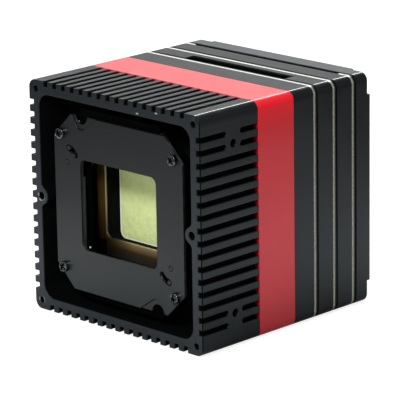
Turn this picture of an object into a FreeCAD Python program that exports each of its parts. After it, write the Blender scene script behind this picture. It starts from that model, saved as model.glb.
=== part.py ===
import FreeCAD, Part
import math
import os
import Sketcher

# Thermal camera module: a finned front housing with a twin-blade shutter and a
# detector, then a spacer ring, three frames, three boards and a rear cover.
# Millimetres. X to the right seen from the front, Y to the back, Z up.
# Each piece is drawn about the optical axis, with depths behind the front face.

SIZES = {
    # casing layers
    "face_width": 45.0,
    "face_height": 45.0,
    "corner_radius": 1.6,
    "housing_depth": 15.0,
    "spacer_depth": 9.5,
    "front_frame_depth": 5.3,
    "inner_frame_depth": 4.5,
    "board_thickness": 0.8,
    "cover_depth": 4.3,
    "frame_wall": 2.2,
    "corner_post": 6.0,
    "rabbet_width": 0.45,
    "rabbet_depth": 0.5,
    # front housing
    "rim_wall": 2.5,
    "cavity_radius": 2.6,
    "floor_thickness": 2.85,
    "rear_wall": 4.5,
    "rear_radius": 2.0,
    "slot_width": 1.1,
    "slot_depth": 1.15,
    "slot_pitch": 2.4,
    "fin_margin": 4.4,
    "short_rows": 2,
    "web_front": 6.8,
    "web_rear": 10.3,
    "lens_hole_inset": 1.75,
    "lens_hole_diameter": 1.3,
    "lens_hole_depth": 5.0,
    "side_hole_inset": 6.5,
    "side_hole_setback": 8.55,
    "side_hole_diameter": 1.6,
    "side_hole_depth": 4.0,
    "boss_radius": 1.65,
    "boss_blend": 1.2,
    "boss_hole_diameter": 1.6,
    "boss_hole_depth": 5.0,
    "post_diameter": 3.2,
    "post_hole_depth": 3.4,
    # shutter plates
    "plate_channel": 3.0,
    "plate_recess": 1.0,
    "plate_thickness": 0.3,
    "plate_chamfer": 4.6,
    "plate_band_side": 7.0,
    "aperture_extra": 0.4,
    "aperture_radius": 1.4,
    "mask_step": 0.2,
    "mask_relief": 0.2,
    "base_step": 0.3,
    "base_relief": 1.0,
    "base_thickness": 0.6,
    "relief_depth": 2.6,
    "relief_tip": 0.7,
    "relief_steep": 2.5,
    "relief_run": 4.4,
    "notch_radius": 1.55,
    "shutter_screw_inset_side": 2.15,
    "shutter_screw_inset_end": 4.0,
    "shutter_screw_diameter": 1.5,
    "shutter_screw_length": 5.4,
    "shutter_head_diameter": 2.1,
    "shutter_head_height": 0.95,
    # shutter blades and drive
    "blade_thickness": 0.2,
    "blade_gap": 0.15,
    "blade_side_lap": 0.6,
    "blade_lap": 0.5,
    "blade_cover": 0.25,
    "blade_corner": 0.8,
    "park_margin": 0.45,
    "guide_clearance": 0.15,
    "lever_thickness": 0.4,
    "lever_swing": 45.0,
    "lever_width": 1.1,
    "crank_angle": 58.0,
    "stop_radius": 2.8,
    "stop_width": 1.0,
    "pivot_offset": 2.75,
    "pivot_rise": 1.0,
    "pin_diameter": 0.8,
    "pin_clearance": 0.2,
    "shaft_diameter": 0.8,
    "shaft_clearance": 0.08,
    "rail_room_above": 2.8,
    "rail_room_below": 3.6,
    "yoke_thickness": 0.5,
    "yoke_width": 3.4,
    "yoke_angle": 60.0,
    "coil_reach": 7.6,
    "coil_diameter": 4.2,
    "coil_height": 1.4,
    "core_diameter": 1.4,
    "core_height": 1.7,
    "pole_diameter": 5.0,
    "pole_bore": 3.2,
    "pole_height": 1.5,
    "magnet_diameter": 2.6,
    "magnet_height": 1.2,
    "magnet_lift": 0.15,
    # detector
    "opening_step_side": 0.6,
    "opening_step_end": 0.4,
    "opening_radius": 1.4,
    "ring_band_side": 2.7,
    "ring_band_end": 2.9,
    "ring_setback": 0.4,
    "ring_overhang": 0.65,
    "ring_thickness": 0.5,
    "window_lap": 1.9,
    "window_thickness": 1.0,
    "package_wall": 2.0,
    "package_depth": 3.0,
    "package_cavity_inset": 1.2,
    "package_cavity_depth": 1.2,
    "chip_margin": 2.0,
    "chip_thickness": 0.5,
    "lead_length": 0.55,
    "lead_width": 0.5,
    "lead_pitch": 2.54,
    "lead_inset": 1.0,
    "lead_rows": 8,
    "sensor_board_thickness": 1.0,
    "sensor_board_ledge": 1.0,
    "sensor_board_radius": 3.0,
    "seat_clearance": 0.1,
    # boards and connectors
    "stacker_width": 20.0,
    "stacker_height": 4.0,
    "stacker_setback": 7.3,
    "processor_size": 14.0,
    "processor_height": 1.4,
    "memory_width": 7.0,
    "memory_length": 10.0,
    "memory_height": 1.1,
    "memory_setback": 7.3,
    "encoder_size": 11.0,
    "encoder_height": 1.2,
    "inductor_size": 4.5,
    "inductor_height": 2.2,
    "inductor_offset": 9.0,
    "port_margin": 1.15,
    "port_offset": 0.85,
    "port_depth": 3.0,
    "port_connector_clearance": 0.8,
    "port_connector_sink": 1.2,
    "port_connector_length": 4.0,
    "port_connector_height": 2.0,
    "board_notch_margin": 2.0,
    "board_notch_depth": 0.8,
    # rear cover and stack screws
    "cover_pocket": 2.6,
    "corner_notch": 4.2,
    "corner_notch_radius": 1.2,
    "corner_notch_depth": 0.75,
    "rear_connector_width": 21.0,
    "rear_connector_height": 5.4,
    "rear_connector_sink": 0.3,
    "rear_connector_wall": 1.0,
    "rear_connector_socket": 2.4,
    "rear_tongue_height": 1.4,
    "connector_clearance": 0.3,
    "stack_screw_inset": 2.2,
    "stack_screw_diameter": 1.9,
    "stack_hole_diameter": 2.1,
    "stack_head_diameter": 3.4,
    "stack_head_height": 0.6,
    "stack_thread_depth": 5.5,
    "stack_tip_gap": 0.5,
    "screw_clearance": 0.05,
}

doc = FreeCAD.newDocument("thermal_camera_module")
sheet = doc.addObject("Spreadsheet::Sheet", "dims")
for row, (alias, size) in enumerate(SIZES.items(), start=1):
    sheet.set(f"A{row}", str(size))
    sheet.setAlias(f"A{row}", alias)
doc.recompute()

# Depths of the layers behind the front face
PACKAGE_REAR = "(dims.housing_depth - dims.sensor_board_thickness - dims.lead_length)"
FLOOR_REAR = f"({PACKAGE_REAR} - dims.package_depth)"
FLOOR_FRONT = f"({FLOOR_REAR} - dims.floor_thickness)"
SPACER_END = "(dims.housing_depth + dims.spacer_depth)"
PROCESSOR_BOARD = f"({SPACER_END} + dims.front_frame_depth)"
MIDDLE_FRAME = f"({PROCESSOR_BOARD} + dims.board_thickness)"
VIDEO_BOARD = f"({MIDDLE_FRAME} + dims.inner_frame_depth)"
REAR_FRAME = f"({VIDEO_BOARD} + dims.board_thickness)"
INTERFACE_BOARD = f"({REAR_FRAME} + dims.inner_frame_depth)"
REAR_COVER = f"({INTERFACE_BOARD} + dims.board_thickness)"
TOTAL_DEPTH = f"({REAR_COVER} + dims.cover_depth)"
SCREW_LAND = f"({TOTAL_DEPTH} - dims.corner_notch_depth)"

# Depths of the shutter's planes
MASK_FRONT = "(dims.plate_recess + dims.plate_thickness)"
CHAMBER_FRONT = f"({MASK_FRONT} + dims.plate_thickness)"
UPPER_BLADE_FRONT = f"({CHAMBER_FRONT} + dims.blade_gap)"
LOWER_BLADE_FRONT = f"({UPPER_BLADE_FRONT} + dims.blade_thickness + dims.blade_gap)"
LEVER_FRONT = f"({LOWER_BLADE_FRONT} + dims.blade_thickness + dims.blade_gap)"
BASE_FRONT = f"({LEVER_FRONT} + dims.lever_thickness + dims.blade_gap)"
BASE_REAR = f"({BASE_FRONT} + dims.base_thickness)"
YOKE_REAR = f"({BASE_REAR} + dims.yoke_thickness)"
MAGNET_FRONT = f"({YOKE_REAR} + dims.magnet_lift)"

# Widths and places that follow from the driving sizes
CAVITY_WIDTH = "(dims.face_width - 2 * dims.rim_wall)"
CAVITY_HEIGHT = "(dims.face_height - 2 * dims.rim_wall)"
PLATE_WIDTH = f"({CAVITY_WIDTH} - 2 * dims.plate_channel)"
PLATE_HEIGHT = f"({CAVITY_HEIGHT} - 2 * dims.plate_channel)"
APERTURE_WIDTH = f"({PLATE_WIDTH} - 2 * dims.plate_band_side)"
APERTURE_HEIGHT = f"({PLATE_HEIGHT} / 2 + dims.aperture_extra)"
SHUTTER_SCREW_X = f"({PLATE_WIDTH} / 2 - dims.shutter_screw_inset_side)"
SHUTTER_SCREW_Z = f"({PLATE_HEIGHT} / 2 - dims.shutter_screw_inset_end)"
SHUTTER_HOLE = "(dims.shutter_screw_diameter + 2 * dims.screw_clearance)"
STACK_SCREW_X = "(dims.face_width / 2 - dims.stack_screw_inset)"
STACK_SCREW_Z = "(dims.face_height / 2 - dims.stack_screw_inset)"
BLADE_WIDTH = f"({APERTURE_WIDTH} + 2 * dims.blade_side_lap)"
BLADE_HEIGHT = f"({APERTURE_HEIGHT} / 2 + dims.blade_lap / 2 + dims.blade_cover)"
GUIDE_X = f"({BLADE_WIDTH} / 2 + dims.guide_clearance)"
PARKED_EDGE = f"({APERTURE_HEIGHT} / 2 + dims.park_margin)"
TRAVEL = f"({PARKED_EDGE} + dims.blade_lap / 2)"
PIVOT_X = f"({GUIDE_X} + dims.pivot_offset)"
PIVOT_Z = f"({APERTURE_HEIGHT} / 2 - dims.pivot_rise)"
ARM_LENGTH = f"({TRAVEL} / (2 * sin(dims.lever_swing / 2)))"
ARM_REACH = f"({ARM_LENGTH} * cos(dims.lever_swing / 2))"
PIN_SLOT = "(dims.pin_diameter + 2 * dims.pin_clearance)"
SHAFT_HOLE = "(dims.shaft_diameter + 2 * dims.shaft_clearance)"
COIL_X = f"({PIVOT_X} - dims.coil_reach * cos(dims.yoke_angle))"
OPENING_WIDTH = f"({APERTURE_WIDTH} - 2 * dims.opening_step_side)"
OPENING_HEIGHT = f"({APERTURE_HEIGHT} - 2 * dims.opening_step_end)"
WINDOW_WIDTH = f"({OPENING_WIDTH} + 2 * dims.window_lap)"
WINDOW_HEIGHT = f"({OPENING_HEIGHT} + 2 * dims.window_lap)"
PACKAGE_WIDTH = f"({WINDOW_WIDTH} + 2 * dims.package_wall)"
PACKAGE_HEIGHT = f"({WINDOW_HEIGHT} + 2 * dims.package_wall)"
REAR_POCKET_WIDTH = "(dims.face_width - 2 * dims.rear_wall)"
REAR_POCKET_HEIGHT = "(dims.face_height - 2 * dims.rear_wall)"
SENSOR_BOARD_WIDTH = f"({REAR_POCKET_WIDTH} + 2 * dims.sensor_board_ledge)"
SENSOR_BOARD_HEIGHT = f"({REAR_POCKET_HEIGHT} + 2 * dims.sensor_board_ledge)"
FRAME_INNER_WIDTH = "(dims.face_width - 2 * dims.frame_wall)"
FRAME_INNER_HEIGHT = "(dims.face_height - 2 * dims.frame_wall)"
PORT_WIDTH = f"({FRAME_INNER_WIDTH} - 2 * (dims.corner_post + dims.port_margin))"


def number(expression):
    """Value of an expression on the sheet."""
    return float(sheet.evalExpression(expression))


def bind(item, path, expression):
    """Ties a property of a document object to the sheet."""
    item.setExpression(path, expression)


# Sketch outlines. Places are measured from the optical axis, X then Z.
ROOT_POINT = (-1, 1)
START, END, CENTRE = 1, 2, 3
NORMAL = FreeCAD.Vector(0, 0, 1)


def point(x, z):
    return FreeCAD.Vector(x, z, 0)


def dimension(sketch, kind, place, expression):
    """Adds a dimension to a sketch and binds it to the sheet."""
    index = sketch.addConstraint(Sketcher.Constraint(kind, *place, number(expression)))
    bind(sketch, f"Constraints[{index}]", expression)


def angle_dimension(sketch, line, expression):
    """Adds the angle of a line, in degrees, and binds it to the sheet."""
    radians = math.radians(number(expression))
    index = sketch.addConstraint(Sketcher.Constraint("Angle", line, radians))
    bind(sketch, f"Constraints[{index}]", f"{expression} * 1 deg")


def place_point(sketch, geometry, position, x, z):
    dimension(sketch, "DistanceX", (*ROOT_POINT, geometry, position), x)
    dimension(sketch, "DistanceY", (*ROOT_POINT, geometry, position), z)


def tangent(sketch, first, first_end, second, second_end):
    sketch.addConstraint(Sketcher.Constraint("Tangent", first, first_end, second, second_end))


def arc(sketch, centre, radius, start_degrees, end_degrees):
    circle_curve = Part.Circle(centre, NORMAL, radius)
    span = (math.radians(start_degrees), math.radians(end_degrees))
    return sketch.addGeometry(Part.ArcOfCircle(circle_curve, *span), False)


def circle(sketch, x, z, diameter):
    centre = point(number(x), number(z))
    index = sketch.addGeometry(Part.Circle(centre, NORMAL, number(diameter) / 2), False)
    place_point(sketch, index, CENTRE, x, z)
    dimension(sketch, "Diameter", (index,), diameter)


def circle_grid(sketch, x, z, diameter):
    """Four circles at the corners of a rectangle about the axis."""
    for side in (1, -1):
        for level in (1, -1):
            circle(sketch, f"{side} * {x}", f"{level} * {z}", diameter)


def polygon(sketch, corners):
    """Closed outline through corners given as pairs of expressions."""
    places = [point(number(x), number(z)) for x, z in corners]
    count = len(corners)
    lines = []
    for index in range(count):
        line = Part.LineSegment(places[index], places[(index + 1) % count])
        lines.append(sketch.addGeometry(line, False))
    for index in range(count):
        following = lines[(index + 1) % count]
        sketch.addConstraint(Sketcher.Constraint("Coincident", lines[index], END, following, START))
        place_point(sketch, lines[index], START, *corners[index])


def rectangle(sketch, x, z, width, height):
    left = f"{x} - {width} / 2"
    right = f"{x} + {width} / 2"
    low = f"{z} - {height} / 2"
    high = f"{z} + {height} / 2"
    polygon(sketch, [(left, low), (right, low), (right, high), (left, high)])


def chamfered_rectangle(sketch, width, height, chamfer):
    """Rectangle about the axis with its four corners cut off."""
    corners = []
    for side, level, along_end in ((1, -1, True), (1, 1, False), (-1, 1, True), (-1, -1, False)):
        on_end = (f"{side} * ({width} / 2 - {chamfer})", f"{level} * {height} / 2")
        on_side = (f"{side} * {width} / 2", f"{level} * ({height} / 2 - {chamfer})")
        corners += [on_end, on_side] if along_end else [on_side, on_end]
    polygon(sketch, corners)


def rounded_rectangle(sketch, x, z, width, height, radius):
    left, right = f"{x} - {width} / 2", f"{x} + {width} / 2"
    low, high = f"{z} - {height} / 2", f"{z} + {height} / 2"
    x0, x1, z0, z1, r = [number(text) for text in (left, right, low, high, radius)]
    sides = (
        (point(x0 + r, z0), point(x1 - r, z0)),
        (point(x1, z0 + r), point(x1, z1 - r)),
        (point(x1 - r, z1), point(x0 + r, z1)),
        (point(x0, z1 - r), point(x0, z0 + r)),
    )
    centres = (point(x1 - r, z0 + r), point(x1 - r, z1 - r), point(x0 + r, z1 - r), point(x0 + r, z0 + r))
    lines = [sketch.addGeometry(Part.LineSegment(*ends), False) for ends in sides]
    arcs = [arc(sketch, centre, r, 90 * turn - 90, 90 * turn) for turn, centre in enumerate(centres)]
    for index in range(4):
        tangent(sketch, lines[index], END, arcs[index], START)
        tangent(sketch, arcs[index], END, lines[(index + 1) % 4], START)
        direction = "Horizontal" if index % 2 == 0 else "Vertical"
        sketch.addConstraint(Sketcher.Constraint(direction, lines[index]))
    for other in arcs[1:]:
        sketch.addConstraint(Sketcher.Constraint("Equal", arcs[0], other))
    dimension(sketch, "Radius", (arcs[0],), radius)
    dimension(sketch, "DistanceX", (*ROOT_POINT, lines[3], START), left)
    dimension(sketch, "DistanceX", (*ROOT_POINT, lines[1], START), right)
    dimension(sketch, "DistanceY", (*ROOT_POINT, lines[0], START), low)
    dimension(sketch, "DistanceY", (*ROOT_POINT, lines[2], START), high)


def stadium(sketch, start, end, z, width):
    """Round-ended bar between two centres on a line of constant Z."""
    x0, x1, height, r = number(start), number(end), number(z), number(width) / 2
    low = sketch.addGeometry(Part.LineSegment(point(x0, height - r), point(x1, height - r)), False)
    right = arc(sketch, point(x1, height), r, -90, 90)
    high = sketch.addGeometry(Part.LineSegment(point(x1, height + r), point(x0, height + r)), False)
    left = arc(sketch, point(x0, height), r, 90, 270)
    loop = (low, right, high, left)
    for index in range(4):
        tangent(sketch, loop[index], END, loop[(index + 1) % 4], START)
    sketch.addConstraint(Sketcher.Constraint("Equal", left, right))
    sketch.addConstraint(Sketcher.Constraint("Horizontal", low))
    place_point(sketch, left, CENTRE, start, z)
    dimension(sketch, "DistanceX", (*ROOT_POINT, right, CENTRE), end)
    dimension(sketch, "Radius", (left,), f"{width} / 2")


def arc_slot(sketch, x, z, radius, start_angle, end_angle, width):
    """Round-ended slot along an arc about a pivot, angles in degrees."""
    pivot = point(number(x), number(z))
    mid, half = number(radius), number(width) / 2
    angles = (number(start_angle), number(end_angle))
    directions = [point(math.cos(math.radians(a)), math.sin(math.radians(a))) for a in angles]
    end_centres = [pivot + direction * mid for direction in directions]
    outer = arc(sketch, pivot, mid + half, *angles)
    inner = arc(sketch, pivot, mid - half, *angles)
    first = arc(sketch, end_centres[0], half, angles[0] - 180, angles[0])
    last = arc(sketch, end_centres[1], half, angles[1], angles[1] + 180)
    tangent(sketch, first, END, outer, START)
    tangent(sketch, outer, END, last, START)
    tangent(sketch, last, END, inner, END)
    tangent(sketch, inner, START, first, START)
    sketch.addConstraint(Sketcher.Constraint("Coincident", outer, CENTRE, inner, CENTRE))
    place_point(sketch, outer, CENTRE, x, z)
    dimension(sketch, "Radius", (outer,), f"{radius} + {width} / 2")
    dimension(sketch, "Radius", (inner,), f"{radius} - {width} / 2")
    for end, centre, angle in ((first, end_centres[0], start_angle), (last, end_centres[1], end_angle)):
        spoke = sketch.addGeometry(Part.LineSegment(pivot, centre), True)
        sketch.addConstraint(Sketcher.Constraint("Coincident", spoke, START, outer, CENTRE))
        sketch.addConstraint(Sketcher.Constraint("Coincident", spoke, END, end, CENTRE))
        angle_dimension(sketch, spoke, angle)


# Bodies and features, and the tolerances their tests use
NEAR = 0.01
PARALLEL = 0.999
LEAST_CUT = 1e-6
pieces = []


def piece(label, x="0", z="0", turn=None):
    """New body whose own axis stands at X, Z from the optical axis."""
    body = doc.addObject("PartDesign::Body", label)
    body.Label = label
    if turn:
        towards_front = FreeCAD.Vector(0, -1, 0)
        body.Placement = FreeCAD.Placement(FreeCAD.Vector(), FreeCAD.Rotation(towards_front, number(turn)))
        bind(body, "Placement.Rotation.Angle", turn)
    bind(body, "Placement.Base.x", x)
    bind(body, "Placement.Base.y", f"-{TOTAL_DEPTH} / 2")
    bind(body, "Placement.Base.z", f"dims.face_height / 2 + {z}")
    pieces.append(body)
    return body


def origin_feature(body, role):
    return next(item for item in body.Origin.OriginFeatures if item.Role == role)


def face_sketch(body, depth, turn=None):
    """Sketch square to the optical axis at a depth behind the front face."""
    sketch = body.newObject("Sketcher::SketchObject", f"{body.Label}_sketch")
    sketch.AttachmentSupport = [(origin_feature(body, "XZ_Plane"), "")]
    sketch.MapMode = "FlatFace"
    if turn:
        sketch.AttachmentOffset = FreeCAD.Placement(FreeCAD.Vector(), FreeCAD.Rotation(NORMAL, number(turn)))
        bind(sketch, "AttachmentOffset.Rotation.Angle", turn)
    bind(sketch, "AttachmentOffset.Base.z", f"-({depth})")
    return sketch


def side_sketch(body, x):
    """Sketch on a plane parallel to the casing's sides, depth then Z."""
    sketch = body.newObject("Sketcher::SketchObject", f"{body.Label}_side_sketch")
    sketch.AttachmentSupport = [(origin_feature(body, "YZ_Plane"), "")]
    sketch.MapMode = "FlatFace"
    bind(sketch, "AttachmentOffset.Base.z", x)
    return sketch


def pad(body, sketch, length):
    """Adds the outline's prism, running to the back."""
    feature = body.newObject("PartDesign::Pad", f"{body.Label}_pad")
    feature.Profile = sketch
    feature.Reversed = True
    bind(feature, "Length", length)
    return feature


def pocket(body, sketch, length):
    """Cuts the outline's prism, running to the back, or inwards from the right side."""
    feature = body.newObject("PartDesign::Pocket", f"{body.Label}_pocket")
    feature.Profile = sketch
    feature.Refine = False
    bind(feature, "Length", length)
    return feature


def row_of(body, feature, axis, count, pitch):
    """Repeats a feature along an axis of the body."""
    pattern = body.newObject("PartDesign::LinearPattern", f"{body.Label}_row")
    pattern.Originals = [feature]
    pattern.Refine = False
    pattern.Direction = (origin_feature(body, axis), [""])
    bind(pattern, "Length", f"({count} - 1) * {pitch}")
    bind(pattern, "Occurrences", count)
    body.Tip = pattern


def casing_outline(sketch):
    rounded_rectangle(sketch, "0", "0", "dims.face_width", "dims.face_height", "dims.corner_radius")


# Front housing with its fins
FIN_COUNT_X = "(floor((dims.face_width - 2 * dims.fin_margin) / dims.slot_pitch) + 1)"
FIN_COUNT_Z = "(floor((dims.face_height - 2 * dims.fin_margin) / dims.slot_pitch) + 1)"
FIN_SPAN_X = f"(({FIN_COUNT_X} - 1) * dims.slot_pitch)"
FIN_SPAN_Z = f"(({FIN_COUNT_Z} - 1) * dims.slot_pitch)"
BOSS_X = f"({CAVITY_WIDTH} / 2)"
SIDE_HOLE_Z = "(dims.face_height / 2 - dims.side_hole_inset)"


def cut_end_slots(body):
    """Slots along the top and the bottom, open at both ends."""
    sketch = face_sketch(body, "0")
    for level in (1, -1):
        edge = f"{level} * dims.face_height / 2"
        rectangle(sketch, f"-{FIN_SPAN_X} / 2", edge, "dims.slot_width", "2 * dims.slot_depth")
    slots = pocket(body, sketch, "dims.housing_depth")
    row_of(body, slots, "X_Axis", FIN_COUNT_X, "dims.slot_pitch")


def cut_side_slots(body):
    """Slots up the sides: whole on the left, and on the right short beside the screw webs."""
    left = face_sketch(body, "0")
    lowest = f"-{FIN_SPAN_Z} / 2"
    section = ("2 * dims.slot_depth", "dims.slot_width")
    rectangle(left, "-dims.face_width / 2", lowest, *section)
    row_of(body, pocket(body, left, "dims.housing_depth"), "Z_Axis", FIN_COUNT_Z, "dims.slot_pitch")
    right = face_sketch(body, "0")
    count = f"({FIN_COUNT_Z} - 2 * dims.short_rows)"
    rectangle(right, "dims.face_width / 2", f"-({count} - 1) * dims.slot_pitch / 2", *section)
    row_of(body, pocket(body, right, "dims.housing_depth"), "Z_Axis", count, "dims.slot_pitch")
    short = side_sketch(body, "dims.face_width / 2")
    front = ("-dims.slot_width", "dims.web_front - dims.slot_width / 2")
    rear = ("dims.web_rear + dims.slot_width / 2", "dims.housing_depth + dims.slot_width")
    upper = f"{FIN_SPAN_Z} / 2 - (dims.short_rows - 1) * dims.slot_pitch"
    for level in (lowest, upper):
        stadium(short, *front, level, "dims.slot_width")
        stadium(short, *rear, level, "dims.slot_width")
    row_of(body, pocket(body, short, "dims.slot_depth"), "Z_Axis", "dims.short_rows", "dims.slot_pitch")


def drill_housing(body):
    """Lens, boss, shutter, side and stack screw holes."""
    lens = face_sketch(body, "0")
    lens_x = "(dims.face_width / 2 - dims.lens_hole_inset)"
    lens_z = "(dims.face_height / 2 - dims.lens_hole_inset)"
    circle_grid(lens, lens_x, lens_z, "dims.lens_hole_diameter")
    pocket(body, lens, "dims.lens_hole_depth")
    boss = face_sketch(body, "0")
    for side in (1, -1):
        circle(boss, f"{side} * {BOSS_X}", "0", "dims.boss_hole_diameter")
    pocket(body, boss, "dims.boss_hole_depth")
    post = face_sketch(body, BASE_REAR)
    circle_grid(post, SHUTTER_SCREW_X, SHUTTER_SCREW_Z, SHUTTER_HOLE)
    pocket(body, post, "dims.post_hole_depth")
    flank = side_sketch(body, "dims.face_width / 2")
    for level in (1, -1):
        circle(flank, "dims.side_hole_setback", f"{level} * {SIDE_HOLE_Z}", "dims.side_hole_diameter")
    pocket(body, flank, "dims.side_hole_depth")
    stack_depth = "(dims.stack_thread_depth + dims.stack_tip_gap)"
    stack = face_sketch(body, f"dims.housing_depth - {stack_depth}")
    circle_grid(stack, STACK_SCREW_X, STACK_SCREW_Z, "dims.stack_hole_diameter")
    pocket(body, stack, stack_depth)


def blend_bosses(body):
    """Rounds the corners where the side bosses run into the cavity wall."""
    doc.recompute()
    base = body.Tip
    names = []
    for index, edge in enumerate(base.Shape.Edges, start=1):
        spot = edge.CenterOfMass
        along_depth = abs(edge.tangentAt(edge.FirstParameter).y) > PARALLEL
        on_wall = abs(abs(spot.x) - number(BOSS_X)) < NEAR
        on_boss = abs(abs(spot.z) - number("dims.boss_radius")) < NEAR
        if along_depth and on_wall and on_boss:
            names.append(f"Edge{index}")
    blend = body.newObject("PartDesign::Fillet", f"{body.Label}_blend")
    blend.Base = (base, names)
    bind(blend, "Radius", "dims.boss_blend")


def front_housing():
    body = piece("front_housing")
    outline = face_sketch(body, "0")
    casing_outline(outline)
    pad(body, outline, "dims.housing_depth")
    cavity = face_sketch(body, "0")
    rounded_rectangle(cavity, "0", "0", CAVITY_WIDTH, CAVITY_HEIGHT, "dims.cavity_radius")
    pocket(body, cavity, FLOOR_FRONT)
    bosses = face_sketch(body, "0")
    for side in (1, -1):
        circle(bosses, f"{side} * {BOSS_X}", "0", "2 * dims.boss_radius")
    pad(body, bosses, FLOOR_FRONT)
    blend_bosses(body)
    posts = face_sketch(body, BASE_REAR)
    circle_grid(posts, SHUTTER_SCREW_X, SHUTTER_SCREW_Z, "dims.post_diameter")
    pad(body, posts, f"{FLOOR_FRONT} - {BASE_REAR}")
    rear = face_sketch(body, FLOOR_REAR)
    rounded_rectangle(rear, "0", "0", REAR_POCKET_WIDTH, REAR_POCKET_HEIGHT, "dims.rear_radius")
    pocket(body, rear, f"dims.housing_depth - {FLOOR_REAR}")
    seat = face_sketch(body, "dims.housing_depth - dims.sensor_board_thickness")
    seat_width = f"({SENSOR_BOARD_WIDTH} + 2 * dims.seat_clearance)"
    seat_height = f"({SENSOR_BOARD_HEIGHT} + 2 * dims.seat_clearance)"
    rounded_rectangle(seat, "0", "0", seat_width, seat_height, "dims.sensor_board_radius")
    pocket(body, seat, "dims.sensor_board_thickness")
    window = face_sketch(body, FLOOR_FRONT)
    rounded_rectangle(window, "0", "0", OPENING_WIDTH, OPENING_HEIGHT, "dims.opening_radius")
    pocket(body, window, "dims.floor_thickness")
    drill_housing(body)
    cut_end_slots(body)
    cut_side_slots(body)


# Shutter: cover, mask and base plates, two blades, two levers with their drives
def plate_holes(sketch):
    """Screw holes, pivot holes and stop slots shared by the two front plates."""
    circle_grid(sketch, SHUTTER_SCREW_X, SHUTTER_SCREW_Z, SHUTTER_HOLE)
    for side in (1, -1):
        pivot = (f"{side} * {PIVOT_X}", f"{-side} * {PIVOT_Z}")
        circle(sketch, *pivot, SHAFT_HOLE)
        half_turn = 90 + 90 * side
        closed = f"({half_turn} - dims.lever_swing / 2 + dims.crank_angle)"
        parked = f"({half_turn} + dims.lever_swing / 2 + dims.crank_angle)"
        arc_slot(sketch, *pivot, "dims.stop_radius", closed, parked, PIN_SLOT)


def plate_outline(sketch, step, relief):
    """Plate with cut corners; its aperture is narrower by a step a side and taller by a relief an end."""
    chamfered_rectangle(sketch, PLATE_WIDTH, PLATE_HEIGHT, "dims.plate_chamfer")
    width = f"({APERTURE_WIDTH} - 2 * {step})"
    height = f"({APERTURE_HEIGHT} + 2 * {relief})"
    rounded_rectangle(sketch, "0", "0", width, height, "dims.aperture_radius")


def shutter_plate(label, front, step, relief):
    body = piece(label)
    sketch = face_sketch(body, front)
    plate_outline(sketch, step, relief)
    plate_holes(sketch)
    pad(body, sketch, "dims.plate_thickness")
    return body


def cut_notches(body, front, length):
    """Round cut-outs in the edge over each coil, one at the top, one at the bottom."""
    sketch = face_sketch(body, front)
    for side in (1, -1):
        circle(sketch, f"{side} * {COIL_X}", f"{-side} * {PLATE_HEIGHT} / 2", "2 * dims.notch_radius")
    pocket(body, sketch, length)


def shutter_cover_plate():
    """Front plate with a blunt V cut in its edge over each coil."""
    body = shutter_plate("shutter_cover_plate", "dims.plate_recess", "0", "0")
    reliefs = face_sketch(body, "dims.plate_recess")
    for side in (1, -1):
        edge = f"{-side} * {PLATE_HEIGHT} / 2"
        tip = f"{-side} * ({PLATE_HEIGHT} / 2 - dims.relief_depth)"
        steep = f"{side} * ({COIL_X} + dims.relief_steep)"
        near = f"{side} * ({COIL_X} + dims.relief_tip)"
        far = f"{side} * ({COIL_X} - dims.relief_tip)"
        run = f"{side} * ({COIL_X} - dims.relief_run)"
        polygon(reliefs, [(steep, edge), (near, tip), (far, tip), (run, edge)])
    pocket(body, reliefs, "dims.plate_thickness")


def shutter_mask_plate():
    body = shutter_plate("shutter_mask_plate", MASK_FRONT, "dims.mask_step", "dims.mask_relief")
    cut_notches(body, MASK_FRONT, "dims.plate_thickness")


def shutter_base():
    """Base plate with side rails that guide the blades and clear the levers."""
    body = piece("shutter_base")
    sketch = face_sketch(body, BASE_FRONT)
    plate_outline(sketch, "dims.base_step", "dims.base_relief")
    pad(body, sketch, "dims.base_thickness")
    rails = face_sketch(body, CHAMBER_FRONT)
    for side in (1, -1):
        inner = f"{side} * {GUIDE_X}"
        outer = f"{side} * {PLATE_WIDTH} / 2"
        corner = f"{side} * ({PLATE_WIDTH} / 2 - dims.plate_chamfer)"
        for level, start in ((side, "dims.rail_room_above"), (-side, "-dims.rail_room_below")):
            lever_side = f"{-side} * ({PIVOT_Z} - {start})"
            end = f"{level} * {PLATE_HEIGHT} / 2"
            shoulder = f"{level} * ({PLATE_HEIGHT} / 2 - dims.plate_chamfer)"
            foot = [(inner, lever_side), (outer, lever_side)]
            polygon(rails, foot + [(outer, shoulder), (corner, end), (inner, end)])
    pad(body, rails, f"{BASE_FRONT} - {CHAMBER_FRONT}")
    holes = face_sketch(body, CHAMBER_FRONT)
    circle_grid(holes, SHUTTER_SCREW_X, SHUTTER_SCREW_Z, SHUTTER_HOLE)
    for side in (1, -1):
        circle(holes, f"{side} * {PIVOT_X}", f"{-side} * {PIVOT_Z}", SHAFT_HOLE)
    pocket(body, holes, f"{BASE_REAR} - {CHAMBER_FRONT}")
    cut_notches(body, CHAMBER_FRONT, f"{BASE_REAR} - {CHAMBER_FRONT}")


def shutter_blade(label, front, level):
    """Blade parked clear of the aperture, with a cross slot for its lever's pin."""
    body = piece(label)
    sketch = face_sketch(body, front)
    middle = f"{level} * ({PARKED_EDGE} + {BLADE_HEIGHT} / 2)"
    rounded_rectangle(sketch, "0", middle, BLADE_WIDTH, BLADE_HEIGHT, "dims.blade_corner")
    near = f"{-level} * ({PIVOT_X} - {ARM_LENGTH})"
    far = f"{-level} * ({PIVOT_X} - {ARM_REACH})"
    start, end = (far, near) if level > 0 else (near, far)
    stadium(sketch, start, end, f"{level} * ({PIVOT_Z} + {TRAVEL} / 2)", PIN_SLOT)
    pad(body, sketch, "dims.blade_thickness")


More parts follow.
